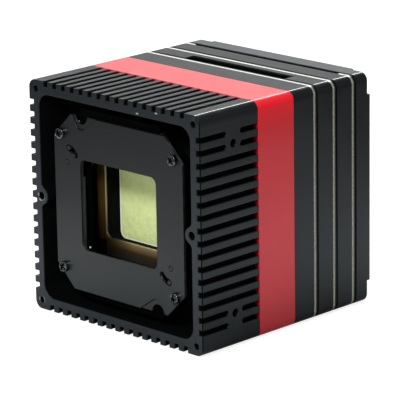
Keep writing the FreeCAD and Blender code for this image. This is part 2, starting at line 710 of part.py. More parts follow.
def pivot_piece(label, side, turn):
    """Body whose own axis is a lever's pivot, on the right for side 1."""
    half_turn = 90 - 90 * side
    return piece(label, f"{side} * {PIVOT_X}", f"{-side} * {PIVOT_Z}", f"{turn} + {half_turn}")


def drive_lever(label, side, pin_front):
    """Bell crank on its shaft: long arm with the blade's pin, short arm with the stop pin."""
    body = pivot_piece(label, side, "dims.lever_swing / 2")
    arm = face_sketch(body, LEVER_FRONT)
    stadium(arm, f"-{ARM_LENGTH}", "0", "0", "dims.lever_width")
    pad(body, arm, "dims.lever_thickness")
    crank = face_sketch(body, LEVER_FRONT, "dims.crank_angle")
    stadium(crank, "-dims.stop_radius", "0", "0", "dims.stop_width")
    pad(body, crank, "dims.lever_thickness")
    drive_pin = face_sketch(body, pin_front)
    circle(drive_pin, f"-{ARM_LENGTH}", "0", "dims.pin_diameter")
    pad(body, drive_pin, f"{LEVER_FRONT} - {pin_front}")
    stop_pin = face_sketch(body, "dims.plate_recess", "dims.crank_angle")
    circle(stop_pin, "-dims.stop_radius", "0", "dims.pin_diameter")
    pad(body, stop_pin, f"{LEVER_FRONT} - dims.plate_recess")
    shaft = face_sketch(body, "dims.plate_recess")
    circle(shaft, "0", "0", "dims.shaft_diameter")
    pad(body, shaft, f"{MAGNET_FRONT} + dims.magnet_height - dims.plate_recess")


def rotor_magnet(label, side):
    body = pivot_piece(label, side, "dims.lever_swing / 2")
    ring = face_sketch(body, MAGNET_FRONT)
    circle(ring, "0", "0", "dims.magnet_diameter")
    circle(ring, "0", "0", "dims.shaft_diameter + 2 * dims.screw_clearance")
    pad(body, ring, "dims.magnet_height")


def actuator_yoke(label, side):
    """Stator: pole ring round the rotor, joined to the coil's core by a flat bar."""
    body = pivot_piece(label, side, "dims.yoke_angle")
    bar = face_sketch(body, BASE_REAR)
    stadium(bar, "-dims.coil_reach", "0", "0", "dims.yoke_width")
    pad(body, bar, "dims.yoke_thickness")
    pole = face_sketch(body, BASE_REAR)
    circle(pole, "0", "0", "dims.pole_diameter")
    pad(body, pole, "dims.yoke_thickness + dims.pole_height")
    core = face_sketch(body, YOKE_REAR)
    circle(core, "-dims.coil_reach", "0", "dims.core_diameter")
    pad(body, core, "dims.core_height")
    bore = face_sketch(body, YOKE_REAR)
    circle(bore, "0", "0", "dims.pole_bore")
    pocket(body, bore, "dims.pole_height")
    hole = face_sketch(body, BASE_REAR)
    circle(hole, "0", "0", SHAFT_HOLE)
    pocket(body, hole, "dims.yoke_thickness")


def actuator_coil(label, side):
    body = pivot_piece(label, side, "dims.yoke_angle")
    ring = face_sketch(body, YOKE_REAR)
    circle(ring, "-dims.coil_reach", "0", "dims.coil_diameter")
    circle(ring, "-dims.coil_reach", "0", "dims.core_diameter + 2 * dims.screw_clearance")
    pad(body, ring, "dims.coil_height")


def shutter_screws():
    body = piece("shutter_screws")
    heads = face_sketch(body, "dims.plate_recess - dims.shutter_head_height")
    circle_grid(heads, SHUTTER_SCREW_X, SHUTTER_SCREW_Z, "dims.shutter_head_diameter")
    pad(body, heads, "dims.shutter_head_height")
    shanks = face_sketch(body, "dims.plate_recess")
    circle_grid(shanks, SHUTTER_SCREW_X, SHUTTER_SCREW_Z, "dims.shutter_screw_diameter")
    pad(body, shanks, "dims.shutter_screw_length")


def shutter():
    shutter_cover_plate()
    shutter_mask_plate()
    shutter_base()
    shutter_blade("upper_shutter_blade", UPPER_BLADE_FRONT, 1)
    shutter_blade("lower_shutter_blade", LOWER_BLADE_FRONT, -1)
    drive_lever("upper_drive_lever", -1, UPPER_BLADE_FRONT)
    drive_lever("lower_drive_lever", 1, LOWER_BLADE_FRONT)
    for name, side in (("upper", -1), ("lower", 1)):
        rotor_magnet(f"{name}_rotor_magnet", side)
        actuator_yoke(f"{name}_actuator_yoke", side)
        actuator_coil(f"{name}_actuator_coil", side)
    shutter_screws()


# Detector: trim ring on the housing's floor, window, package, chip and leads behind it
def detector_trim_ring():
    body = piece("detector_trim_ring")
    sketch = face_sketch(body, f"{FLOOR_FRONT} - dims.ring_thickness")
    width = f"({OPENING_WIDTH} + 2 * dims.ring_band_side)"
    height = f"({OPENING_HEIGHT} + 2 * dims.ring_band_end)"
    rounded_rectangle(sketch, "0", "0", width, height, "dims.opening_radius")
    inner_width = f"({OPENING_WIDTH} + 2 * dims.ring_setback)"
    inner_height = f"({OPENING_HEIGHT} - 2 * dims.ring_overhang)"
    rounded_rectangle(sketch, "0", "0", inner_width, inner_height, "dims.opening_radius")
    pad(body, sketch, "dims.ring_thickness")


def detector_window():
    body = piece("detector_window")
    sketch = face_sketch(body, FLOOR_REAR)
    rectangle(sketch, "0", "0", WINDOW_WIDTH, WINDOW_HEIGHT)
    pad(body, sketch, "dims.window_thickness")


def detector_package():
    body = piece("detector_package")
    outline = face_sketch(body, FLOOR_REAR)
    rectangle(outline, "0", "0", PACKAGE_WIDTH, PACKAGE_HEIGHT)
    pad(body, outline, "dims.package_depth")
    seat = face_sketch(body, FLOOR_REAR)
    seat_width = f"({WINDOW_WIDTH} + 2 * dims.seat_clearance)"
    seat_height = f"({WINDOW_HEIGHT} + 2 * dims.seat_clearance)"
    rectangle(seat, "0", "0", seat_width, seat_height)
    pocket(body, seat, "dims.window_thickness")
    well = face_sketch(body, f"{FLOOR_REAR} + dims.window_thickness")
    well_width = f"({WINDOW_WIDTH} - 2 * dims.package_cavity_inset)"
    well_height = f"({WINDOW_HEIGHT} - 2 * dims.package_cavity_inset)"
    rectangle(well, "0", "0", well_width, well_height)
    pocket(body, well, "dims.package_cavity_depth")


def detector_chip():
    body = piece("detector_chip")
    bottom = f"({FLOOR_REAR} + dims.window_thickness + dims.package_cavity_depth)"
    sketch = face_sketch(body, f"{bottom} - dims.chip_thickness")
    width = f"({OPENING_WIDTH} - 2 * dims.chip_margin)"
    height = f"({OPENING_HEIGHT} - 2 * dims.chip_margin)"
    rectangle(sketch, "0", "0", width, height)
    pad(body, sketch, "dims.chip_thickness")


def detector_leads():
    """Two columns of leads from the package's back to the sensor board."""
    body = piece("detector_leads")
    sketch = face_sketch(body, PACKAGE_REAR)
    first = "-(dims.lead_rows - 1) * dims.lead_pitch / 2"
    for side in (1, -1):
        column = f"{side} * ({PACKAGE_WIDTH} / 2 - dims.lead_inset)"
        rectangle(sketch, column, first, "dims.lead_width", "dims.lead_width")
    pair = pad(body, sketch, "dims.lead_length")
    row_of(body, pair, "Z_Axis", "dims.lead_rows", "dims.lead_pitch")


def detector():
    detector_trim_ring()
    detector_window()
    detector_package()
    detector_chip()
    detector_leads()


# Casing layers and boards behind the front housing
def casing_frame(label, front, depth):
    """Square frame with posts in its corners for the long screws."""
    body = piece(label)
    sketch = face_sketch(body, front)
    casing_outline(sketch)
    chamfered_rectangle(sketch, FRAME_INNER_WIDTH, FRAME_INNER_HEIGHT, "dims.corner_post")
    circle_grid(sketch, STACK_SCREW_X, STACK_SCREW_Z, "dims.stack_hole_diameter")
    pad(body, sketch, depth)
    return body


def cut_rabbet(body, front):
    """Shallow step round the front edge, which leaves a shadow line behind a board."""
    sketch = face_sketch(body, front)
    margin = "dims.rabbet_width"
    rectangle(sketch, "0", "0", f"(dims.face_width + 2 * {margin})", f"(dims.face_height + 2 * {margin})")
    width = f"(dims.face_width - 2 * {margin})"
    height = f"(dims.face_height - 2 * {margin})"
    rounded_rectangle(sketch, "0", "0", width, height, f"(dims.corner_radius - {margin})")
    pocket(body, sketch, "dims.rabbet_depth")


def middle_frame():
    """Frame with a port through its top edge for the flat connector."""
    body = casing_frame("middle_frame", MIDDLE_FRAME, "dims.inner_frame_depth")
    cut_rabbet(body, MIDDLE_FRAME)
    port = face_sketch(body, MIDDLE_FRAME)
    through = "2 * (dims.frame_wall + dims.rabbet_width)"
    rectangle(port, "dims.port_offset", "dims.face_height / 2", PORT_WIDTH, through)
    pocket(body, port, "dims.port_depth")


def casing_board(label, front):
    body = piece(label)
    sketch = face_sketch(body, front)
    casing_outline(sketch)
    circle_grid(sketch, STACK_SCREW_X, STACK_SCREW_Z, "dims.stack_hole_diameter")
    pad(body, sketch, "dims.board_thickness")
    return body


def interface_board():
    """Rear board, set back along its top edge between the corners."""
    body = casing_board("interface_board", INTERFACE_BOARD)
    notch = face_sketch(body, INTERFACE_BOARD)
    width = "(dims.face_width - 2 * (dims.corner_radius + dims.board_notch_margin))"
    rectangle(notch, "0", "dims.face_height / 2", width, "2 * dims.board_notch_depth")
    pocket(body, notch, "dims.board_thickness")


def sensor_board():
    body = piece("sensor_board")
    sketch = face_sketch(body, "dims.housing_depth - dims.sensor_board_thickness")
    rounded_rectangle(sketch, "0", "0", SENSOR_BOARD_WIDTH, SENSOR_BOARD_HEIGHT, "dims.sensor_board_radius")
    pad(body, sketch, "dims.sensor_board_thickness")


def rear_cover():
    """Shallow lid with screw lands in its corners and an opening for the connector."""
    body = piece("rear_cover")
    outline = face_sketch(body, REAR_COVER)
    casing_outline(outline)
    circle_grid(outline, STACK_SCREW_X, STACK_SCREW_Z, "dims.stack_hole_diameter")
    pad(body, outline, "dims.cover_depth")
    inside = face_sketch(body, REAR_COVER)
    chamfered_rectangle(inside, FRAME_INNER_WIDTH, FRAME_INNER_HEIGHT, "dims.corner_post")
    pocket(body, inside, "dims.cover_pocket")
    cut_rabbet(body, REAR_COVER)
    lands = face_sketch(body, SCREW_LAND)
    notch = "2 * dims.corner_notch"
    for side in (1, -1):
        for level in (1, -1):
            corner = (f"{side} * dims.face_width / 2", f"{level} * dims.face_height / 2")
            rounded_rectangle(lands, *corner, notch, notch, "dims.corner_notch_radius")
    pocket(body, lands, "dims.corner_notch_depth")
    opening = face_sketch(body, REAR_COVER)
    width = "(dims.rear_connector_width + 2 * dims.connector_clearance)"
    height = "(dims.rear_connector_height + 2 * dims.connector_clearance)"
    rectangle(opening, "0", "0", width, height)
    pocket(body, opening, "dims.cover_depth")


def stack_screws():
    """Long screws from the rear lands through every layer into the front housing."""
    body = piece("stack_screws")
    heads = face_sketch(body, SCREW_LAND)
    circle_grid(heads, STACK_SCREW_X, STACK_SCREW_Z, "dims.stack_head_diameter")
    pad(body, heads, "dims.stack_head_height")
    tip = "(dims.housing_depth - dims.stack_thread_depth)"
    shanks = face_sketch(body, tip)
    circle_grid(shanks, STACK_SCREW_X, STACK_SCREW_Z, "dims.stack_screw_diameter")
    pad(body, shanks, f"{SCREW_LAND} - {tip}")


def casing():
    sensor_board()
    casing_frame("red_spacer_ring", "dims.housing_depth", "dims.spacer_depth")
    casing_frame("front_frame", SPACER_END, "dims.front_frame_depth")
    casing_board("processor_board", PROCESSOR_BOARD)
    middle_frame()
    casing_board("video_board", VIDEO_BOARD)
    cut_rabbet(casing_frame("rear_frame", REAR_FRAME, "dims.inner_frame_depth"), REAR_FRAME)
    interface_board()
    rear_cover()
    stack_screws()


# Parts on the boards
def blocks(label, front, depth, places, width, height):
    """Plain blocks on a board, one at each place."""
    body = piece(label)
    sketch = face_sketch(body, front)
    for x, z in places:
        rectangle(sketch, x, z, width, height)
    pad(body, sketch, depth)
    return body


def board_stackers():
    """Connectors that join each board to the next one."""
    low = [("0", f"dims.stacker_setback - {FRAME_INNER_HEIGHT} / 2")]
    size = ("dims.stacker_width", "dims.stacker_height")
    sensor_gap = f"{PROCESSOR_BOARD} - dims.housing_depth"
    blocks("sensor_board_stacker", "dims.housing_depth", sensor_gap, low, *size)
    blocks("video_board_stacker", MIDDLE_FRAME, "dims.inner_frame_depth", low, *size)
    blocks("interface_board_stacker", REAR_FRAME, "dims.inner_frame_depth", low, *size)


def board_chips():
    centre = [("0", "0")]
    processor_front = f"{PROCESSOR_BOARD} - dims.processor_height"
    square = ("dims.processor_size", "dims.processor_size")
    blocks("processor_chip", processor_front, "dims.processor_height", centre, *square)
    beside = f"({FRAME_INNER_WIDTH} / 2 - dims.memory_setback)"
    pair = [(beside, "0"), (f"-{beside}", "0")]
    memory_front = f"{PROCESSOR_BOARD} - dims.memory_height"
    memory = ("dims.memory_width", "dims.memory_length")
    blocks("memory_chips", memory_front, "dims.memory_height", pair, *memory)
    encoder = ("dims.encoder_size", "dims.encoder_size")
    blocks("video_chip", REAR_FRAME, "dims.encoder_height", centre, *encoder)
    coils = [("dims.inductor_offset", "0"), ("-dims.inductor_offset", "0")]
    coil_front = f"{INTERFACE_BOARD} - dims.inductor_height"
    coil = ("dims.inductor_size", "dims.inductor_size")
    blocks("power_inductors", coil_front, "dims.inductor_height", coils, *coil)


def flat_port_connector():
    """Flat connector on the processor board, just inside the top port."""
    width = f"({PORT_WIDTH} - 2 * dims.port_connector_clearance)"
    middle = "(dims.face_height / 2 - dims.port_connector_sink - dims.port_connector_length / 2)"
    place = [("dims.port_offset", middle)]
    size = (width, "dims.port_connector_length")
    blocks("flat_port_connector", MIDDLE_FRAME, "dims.port_connector_height", place, *size)


def rear_connector():
    """Plug housing with a tongue in its socket, level with the rear cover."""
    depth = "(dims.cover_depth - dims.rear_connector_sink)"
    size = ("dims.rear_connector_width", "dims.rear_connector_height")
    body = blocks("rear_connector", REAR_COVER, depth, [("0", "0")], *size)
    socket = face_sketch(body, f"{REAR_COVER} + {depth} - dims.rear_connector_socket")
    width = "(dims.rear_connector_width - 2 * dims.rear_connector_wall)"
    height = "(dims.rear_connector_height - 2 * dims.rear_connector_wall)"
    rectangle(socket, "0", "0", width, height)
    rectangle(socket, "0", "0", f"({width} - 2 * dims.rear_connector_wall)", "dims.rear_tongue_height")
    pocket(body, socket, "dims.rear_connector_socket")


front_housing()
shutter()
detector()
casing()
board_stackers()
board_chips()
flat_port_connector()
rear_connector()
doc.recompute()


def check_model():
    """Every object is sound, and every cut really takes material away."""
    for item in doc.Objects:
        if "Invalid" in item.State or "Error" in item.State:
            raise RuntimeError(f"{item.Label} failed: {item.State}")
    for item in doc.findObjects("PartDesign::Pocket"):
        if item.Shape.Volume > item.BaseFeature.Shape.Volume - LEAST_CUT:
            raise RuntimeError(f"{item.Label} cuts nothing")
    for body in pieces:
        if body.Shape.isNull() or not body.Shape.isValid() or not body.Shape.Solids:
            raise RuntimeError(f"{body.Label} has no valid solid")


check_model()
os.makedirs("parts", exist_ok=True)
for body in pieces:
    body.Shape.exportStep(f"parts/{body.Label}.step")
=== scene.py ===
import math

import bmesh
import bpy
import numpy as np
from mathutils import Matrix, Vector


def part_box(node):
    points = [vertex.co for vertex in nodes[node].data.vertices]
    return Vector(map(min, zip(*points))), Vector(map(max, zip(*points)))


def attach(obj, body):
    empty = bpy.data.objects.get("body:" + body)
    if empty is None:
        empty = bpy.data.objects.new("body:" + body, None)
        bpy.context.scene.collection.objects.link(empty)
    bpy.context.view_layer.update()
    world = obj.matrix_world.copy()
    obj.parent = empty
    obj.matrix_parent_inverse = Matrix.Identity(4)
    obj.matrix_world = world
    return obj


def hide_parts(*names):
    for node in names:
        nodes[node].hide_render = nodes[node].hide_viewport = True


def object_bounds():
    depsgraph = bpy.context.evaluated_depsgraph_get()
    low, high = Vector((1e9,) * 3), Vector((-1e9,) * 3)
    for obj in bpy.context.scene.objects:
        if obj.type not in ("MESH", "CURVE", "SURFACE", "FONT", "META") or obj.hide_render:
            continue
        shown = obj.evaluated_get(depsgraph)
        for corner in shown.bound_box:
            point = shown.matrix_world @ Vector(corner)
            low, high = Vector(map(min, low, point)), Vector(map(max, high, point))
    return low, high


# Thermal camera module: a finned black housing with a twin-blade shutter before a
# coated detector window, then a red spacer ring and black frames with boards between
# them. Metres, in the part's own frame: X right, Y to the back, Z up.
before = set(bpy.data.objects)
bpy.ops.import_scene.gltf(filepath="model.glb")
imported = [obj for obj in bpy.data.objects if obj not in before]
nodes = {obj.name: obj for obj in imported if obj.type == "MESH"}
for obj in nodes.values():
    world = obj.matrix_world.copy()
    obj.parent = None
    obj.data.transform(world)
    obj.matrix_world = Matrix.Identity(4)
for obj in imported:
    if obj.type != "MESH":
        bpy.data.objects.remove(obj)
cad_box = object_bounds()


# Front housing: milled from aluminium bar, with slots sawn along all four sides as
# cooling fins, blasted with fine beads and anodised black. Its edges are broken by a
# small radius.
MM = 0.001
HALF_WIDTH = cad_box[1][0]
FRONT_FACE = cad_box[0][1]
REAR_FACE = cad_box[1][1]
TOP_FACE = cad_box[1][2]
AXIS_Z = TOP_FACE / 2
CORNER_RADIUS = 1.6 * MM
CORNER_CENTRE = HALF_WIDTH - CORNER_RADIUS
HOUSING_EDGE = 0.1 * MM
WELD = 0.0005 * MM
COPLANAR = math.radians(0.6)
SHARP = math.radians(40)

# Depths that tell the outer faces from slots and pockets, which are painted darker as painted shade,
# and the band along the front edges of the flanks that is painted as a dark line, a painted shade.
SKIN = 0.2 * MM
RECESS_EDGE = 0.12 * MM
RECESS_DEEP = 0.4 * MM
DARK_EDGE = FRONT_FACE + 0.07 * MM
DARK_EDGE_HALF = 0.09 * MM

# Worn bare metal on the front face, painted pale so that it also serves as painted glints: scuffed
# rims of holes, and two nicks.
LENS_HOLE = (20.75 * MM, 0, 20.75 * MM)
LENS_RIM = 0.72 * MM
BOSS_HOLE = (20.0 * MM, 0, 0)
BOSS_RIM = 0.87 * MM
RIM_HALF = 0.11 * MM
SCUFF_GLINT = 1.1 * MM
SCUFF_GLINT_CUT = (0.5, 0.6)
BARE_GLINT_BELOW = 24 * MM
NICK_GLINTS = ((6.6 * MM, FRONT_FACE, 42.95 * MM), (11.5 * MM, FRONT_FACE, 43.75 * MM))
NICK_GLINT_STRETCH = (0.4, 1, 1)
NICK_GLINT_RADIUS = 0.14 * MM

# Dye, dust and film; painted light on the front face and low and high on the sides, painted shade in
# recesses, and pale bare metal that also serves as painted glints.
BLACK_DYE = "#151719"
BLACK_DYE_FADED = "#1B1D1F"
RECESS_SHADE = "#070809"
FRONT_LIT = "#1D2022"
FRONT_LIT_LOW = "#2B2F32"
DUST = "#5A5C5C"
BARE_GLINT = "#949696"
COOL_GLOSS = "#E4F4FA"
HANDLING_PATCH = 14 * MM
PATCH_CUT = (0.35, 0.7)
DUST_SPECK = 0.5 * MM
DUST_CUT = (0.68, 0.8)
FOOT_SHADE_HEIGHT = 8 * MM
CREST_LIGHT_SPAN = (40 * MM, 44 * MM)
FILM = (38 * MM, 26 * MM)
TOP_FILM = 0.8
FILM_ROUGHNESS = 0.33

# Gloss of faces, recesses, rounded corners, the rear cover's top and burnished edges.
GLOSS_SPREAD = (-0.03, 0.05)
FACE_SHINE = 0.5
RECESS_SHINE = 0.06
RECESS_ROUGHNESS = 0.7
CORNER_SHINE = 0.12
CORNER_BLEND = 0.4 * MM
COVER_SHINE = 0.8
COVER_FRONT = 18.0 * MM
COVER_BLEND = 1 * MM
BURNISHED = 0.5 * MM
BURNISHED_SHINE = 0.8
BURNISHED_ROUGHNESS = 0.1
BURNISHED_GRIT = 0.2
# The grit of real bead blasting is about 0.05 mm; it is drawn coarser so that it shows.
BEAD_GRIT = 0.16 * MM
GRIT_DEPTH = 0.004 * MM


def linear(code):
    """Linear colour of an sRGB hex code: c / 12.92 near black, else ((c + 0.055) / 1.055) ^ 2.4."""
    srgb = np.array([int(code[i:i + 2], 16) for i in (1, 3, 5)]) / 255
    flat = np.where(srgb <= 0.04045, srgb / 12.92, ((srgb + 0.055) / 1.055) ** 2.4)
    return (*flat.tolist(), 1.0)


def add(tree, kind, inputs, output=0, **settings):
    """Adds a shader node and gives one of its outputs; a hex code among the inputs is a colour."""
    made = tree.nodes.new(kind)
    for name, value in settings.items():
        setattr(made, name, value)
    for socket, value in inputs.items():
        if isinstance(value, bpy.types.NodeSocket):
            tree.links.new(value, made.inputs[socket])
        else:
            made.inputs[socket].default_value = linear(value) if isinstance(value, str) else value
    return made.outputs[output] if made.outputs else made


def new_material(name):
    """Empty node material, with its Object coordinates."""
    made = bpy.data.materials.new(name)
    made.use_nodes = True
    made.node_tree.nodes.clear()
    place = add(made.node_tree, "ShaderNodeTexCoord", {}, "Object")
    return made, made.node_tree, place


def recessed(tree, place):
    """1 inside slots and pockets, 0 on the outer faces: how far a point lies within the box with its
    rounded long edges, behind the front and before the rear. A thin band along the front edges of the
    flanks counts as inside too. Where it is 1 the colour is painted darker as painted shade, and the gloss
    is duller."""
    core = (CORNER_CENTRE, 1.0, CORNER_CENTRE)
    across = add(tree, "ShaderNodeVectorMath", {0: place, 1: (0, 0, AXIS_Z)}, operation="SUBTRACT")
    across = add(tree, "ShaderNodeVectorMath", {0: across}, operation="ABSOLUTE")
    across = add(tree, "ShaderNodeVectorMath", {0: across, 1: core}, operation="SUBTRACT")
    across = add(tree, "ShaderNodeVectorMath", {0: across, 1: (0, 0, 0)}, operation="MAXIMUM")
    reach = add(tree, "ShaderNodeVectorMath", {0: across}, "Value", operation="LENGTH")
    along = add(tree, "ShaderNodeSeparateXYZ", {0: place}, "Y")
    within = {"Value": reach, 1: CORNER_RADIUS - RECESS_EDGE, 2: CORNER_RADIUS - RECESS_DEEP}
    behind = {"Value": along, 1: FRONT_FACE + RECESS_EDGE, 2: FRONT_FACE + RECESS_DEEP}
    before = {"Value": along, 1: REAR_FACE - RECESS_EDGE, 2: REAR_FACE - RECESS_DEEP}
    recess = add(tree, "ShaderNodeMapRange", within)
    for span in (behind, before):
        depth = add(tree, "ShaderNodeMapRange", span)
        recess = add(tree, "ShaderNodeMath", {0: recess, 1: depth}, operation="MULTIPLY")
    sideways = add(tree, "ShaderNodeSeparateXYZ", {0: place}, "X")
    sideways = add(tree, "ShaderNodeMath", {0: sideways}, operation="ABSOLUTE")
    flank = add(tree, "ShaderNodeMath", {0: sideways, 1: HALF_WIDTH - SKIN}, operation="GREATER_THAN")
    # Painted shade: a thin dark band along the front edges of the flanks.
    dark_edge = add(tree, "ShaderNodeMath", {0: along, 1: DARK_EDGE, 2: DARK_EDGE_HALF}, operation="COMPARE")
    dark_edge = add(tree, "ShaderNodeMath", {0: dark_edge, 1: flank}, operation="MULTIPLY")
    return add(tree, "ShaderNodeMath", {0: recess, 1: dark_edge}, operation="MAXIMUM")


def bare_and_glint(tree, place):
    """1 where the front face is painted a pale bare-metal grey that also serves as painted glints: in
    scuffs round the left boss and the lower left hole, and in two nicks on its upper rim."""
    plan = add(tree, "ShaderNodeVectorMath", {0: place, 1: (0, 0, AXIS_Z)}, operation="SUBTRACT")
    plan = add(tree, "ShaderNodeVectorMath", {0: plan}, operation="ABSOLUTE")
    plan = add(tree, "ShaderNodeVectorMath", {0: plan, 1: (1, 0, 1)}, operation="MULTIPLY")
    lens = add(tree, "ShaderNodeVectorMath", {0: plan, 1: LENS_HOLE}, "Value", operation="DISTANCE")
    lens = add(tree, "ShaderNodeMath", {0: lens, 1: LENS_RIM, 2: RIM_HALF}, operation="COMPARE")
    boss = add(tree, "ShaderNodeVectorMath", {0: plan, 1: BOSS_HOLE}, "Value", operation="DISTANCE")
    boss = add(tree, "ShaderNodeMath", {0: boss, 1: BOSS_RIM, 2: RIM_HALF}, operation="COMPARE")
    bare_glint = add(tree, "ShaderNodeMath", {0: lens, 1: boss}, operation="MAXIMUM")
    scuff_glint = add(tree, "ShaderNodeTexNoise", {"Vector": place, "Scale": 1 / SCUFF_GLINT, "Detail": 3.0})
    scuff_glint = add(tree, "ShaderNodeMapRange", {"Value": scuff_glint, 1: SCUFF_GLINT_CUT[0], 2: SCUFF_GLINT_CUT[1]})
    sideways = add(tree, "ShaderNodeSeparateXYZ", {0: place}, "X")
    along = add(tree, "ShaderNodeSeparateXYZ", {0: place}, "Y")
    upright = add(tree, "ShaderNodeSeparateXYZ", {0: place}, "Z")
    left = add(tree, "ShaderNodeMath", {0: sideways, 1: 0.0}, operation="LESS_THAN")
    front = add(tree, "ShaderNodeMath", {0: along, 1: FRONT_FACE + SKIN}, operation="LESS_THAN")
    below = add(tree, "ShaderNodeMath", {0: upright, 1: BARE_GLINT_BELOW}, operation="LESS_THAN")
    for mask in (scuff_glint, left, front, below):
        bare_glint = add(tree, "ShaderNodeMath", {0: bare_glint, 1: mask}, operation="MULTIPLY")
    for spot in NICK_GLINTS:
        away = add(tree, "ShaderNodeVectorMath", {0: place, 1: spot}, operation="SUBTRACT")
        away = add(tree, "ShaderNodeVectorMath", {0: away, 1: NICK_GLINT_STRETCH}, operation="MULTIPLY")
        away = add(tree, "ShaderNodeVectorMath", {0: away}, "Value", operation="LENGTH")
        nick_glint = add(tree, "ShaderNodeMath", {0: away, 1: NICK_GLINT_RADIUS}, operation="LESS_THAN")
        bare_glint = add(tree, "ShaderNodeMath", {0: bare_glint, 1: nick_glint}, operation="MAXIMUM")
    return bare_glint


def anodised(name, dye, faded, recess_shade, foot_shade, crest_lit, roughness, ior, sheen, dust, top_shine, crown):
    """Anodised aluminium: dyed oxide over fine bead-blasted grit, which gives an even, satin gloss.
    The dye fades in patches. Its colour is painted darker low down and brighter high up, by the given
    foot and crest, and lighter on the front face, most at its foot: painted light. Slots, pockets and the
    front edges of the flanks are painted darker, a painted shade, and are duller. Pale bare metal at
    scuffs and nicks also serves as painted glints. A film of the given sheen hazes the lower sides and
    the top. The top's long edges are burnished to a bright line, and the rounded corners shine less from
    the crown's depth upwards."""
    made, tree, place = new_material(name)
    along = add(tree, "ShaderNodeSeparateXYZ", {0: place}, "Y")
    upright = add(tree, "ShaderNodeSeparateXYZ", {0: place}, "Z")
    sideways = add(tree, "ShaderNodeSeparateXYZ", {0: place}, "X")
    sideways = add(tree, "ShaderNodeMath", {0: sideways}, operation="ABSOLUTE")
    front = add(tree, "ShaderNodeMath", {0: along, 1: FRONT_FACE + SKIN}, operation="LESS_THAN")
    top = add(tree, "ShaderNodeMath", {0: upright, 1: TOP_FACE - SKIN}, operation="GREATER_THAN")
    recess = recessed(tree, place)

    cloud = add(tree, "ShaderNodeTexNoise", {"Vector": place, "Scale": 1 / HANDLING_PATCH, "Detail": 4.0})
    patch = add(tree, "ShaderNodeMapRange", {"Value": cloud, 1: PATCH_CUT[0], 2: PATCH_CUT[1]})
    tone = add(tree, "ShaderNodeMix", {"Factor": patch, 6: dye, 7: faded}, 2, data_type="RGBA")
    # Painted light: darker at the foot and brighter at the crest, by the given shares.
    painted_foot_shade = add(tree, "ShaderNodeMapRange", {"Value": upright, 2: FOOT_SHADE_HEIGHT, 3: foot_shade, 4: 1.0})
    painted_crest_light = add(tree, "ShaderNodeMapRange", {"Value": upright, 1: CREST_LIGHT_SPAN[0], 2: CREST_LIGHT_SPAN[1], 3: 1.0, 4: crest_lit})
    strength = add(tree, "ShaderNodeMath", {0: painted_foot_shade, 1: painted_crest_light}, operation="MULTIPLY")
    tone = add(tree, "ShaderNodeVectorMath", {0: tone, "Scale": strength}, operation="SCALE")
    speck = add(tree, "ShaderNodeTexNoise", {"Vector": place, "Scale": 1 / DUST_SPECK, "Detail": 5.0})
    dusty = add(tree, "ShaderNodeMapRange", {"Value": speck, 1: DUST_CUT[0], 2: DUST_CUT[1], 4: dust})
    tone = add(tree, "ShaderNodeMix", {"Factor": dusty, 6: tone, 7: DUST}, 2, data_type="RGBA")
    # Painted light: the front face is lighter than the sides, and lighter still towards its foot.
    rise = add(tree, "ShaderNodeMapRange", {"Value": upright, 2: TOP_FACE})
    ends = {"Factor": rise, 6: FRONT_LIT_LOW, 7: FRONT_LIT}
    front_painted_light = add(tree, "ShaderNodeMix", ends, 2, data_type="RGBA")
    tone = add(tree, "ShaderNodeMix", {"Factor": front, 6: tone, 7: front_painted_light}, 2, data_type="RGBA")
    # Painted shade: slots, pockets and the front edges of the flanks are darker.
    tone = add(tree, "ShaderNodeMix", {"Factor": recess, 6: tone, 7: recess_shade}, 2, data_type="RGBA")
    # Pale bare metal at scuffs and nicks, which also serves as painted glints.
    bare_glint = bare_and_glint(tree, place)
    tone = add(tree, "ShaderNodeMix", {"Factor": bare_glint, 6: tone, 7: BARE_GLINT}, 2, data_type="RGBA")

    haze = 0.0
    if sheen:
        film = add(tree, "ShaderNodeMapRange", {"Value": upright, 1: FILM[0], 2: FILM[1], 4: sheen})
        top_film = add(tree, "ShaderNodeMath", {0: top, 1: TOP_FILM * sheen}, operation="MULTIPLY")
        haze = add(tree, "ShaderNodeMath", {0: film, 1: top_film}, operation="MAXIMUM")

    edge = {0: sideways, 1: CORNER_CENTRE + 0.5 * BURNISHED, 2: 0.5 * BURNISHED}
    brightened = add(tree, "ShaderNodeMath", edge, operation="COMPARE")
    brightened = add(tree, "ShaderNodeMath", {0: brightened, 1: top}, operation="MULTIPLY")
    spread = {"Value": patch, 3: roughness + GLOSS_SPREAD[0], 4: roughness + GLOSS_SPREAD[1]}
    gloss = add(tree, "ShaderNodeMapRange", spread)
    gloss = add(tree, "ShaderNodeMix", {"Factor": recess, 2: gloss, 3: RECESS_ROUGHNESS})
    gloss = add(tree, "ShaderNodeMix", {"Factor": brightened, 2: gloss, 3: BURNISHED_ROUGHNESS})

    corner_start = AXIS_Z + CORNER_CENTRE
    aside = add(tree, "ShaderNodeMath", {0: sideways, 1: CORNER_CENTRE + BURNISHED}, operation="GREATER_THAN")
    above = {"Value": upright, 1: corner_start - crown, 2: corner_start + CORNER_BLEND}
    rounded = add(tree, "ShaderNodeMapRange", above)
    rounded = add(tree, "ShaderNodeMath", {0: rounded, 1: aside}, operation="MULTIPLY")
    cover = {"Value": along, 1: COVER_FRONT - COVER_BLEND, 2: COVER_FRONT, 3: top_shine, 4: COVER_SHINE}
    lengthwise = add(tree, "ShaderNodeMapRange", cover)
    shine = add(tree, "ShaderNodeMapRange", {"Value": recess, 3: FACE_SHINE, 4: RECESS_SHINE})
    shine = add(tree, "ShaderNodeMix", {"Factor": top, 2: shine, 3: lengthwise})
    shine = add(tree, "ShaderNodeMix", {"Factor": rounded, 2: shine, 3: CORNER_SHINE})
    shine = add(tree, "ShaderNodeMix", {"Factor": brightened, 2: shine, 3: BURNISHED_SHINE})

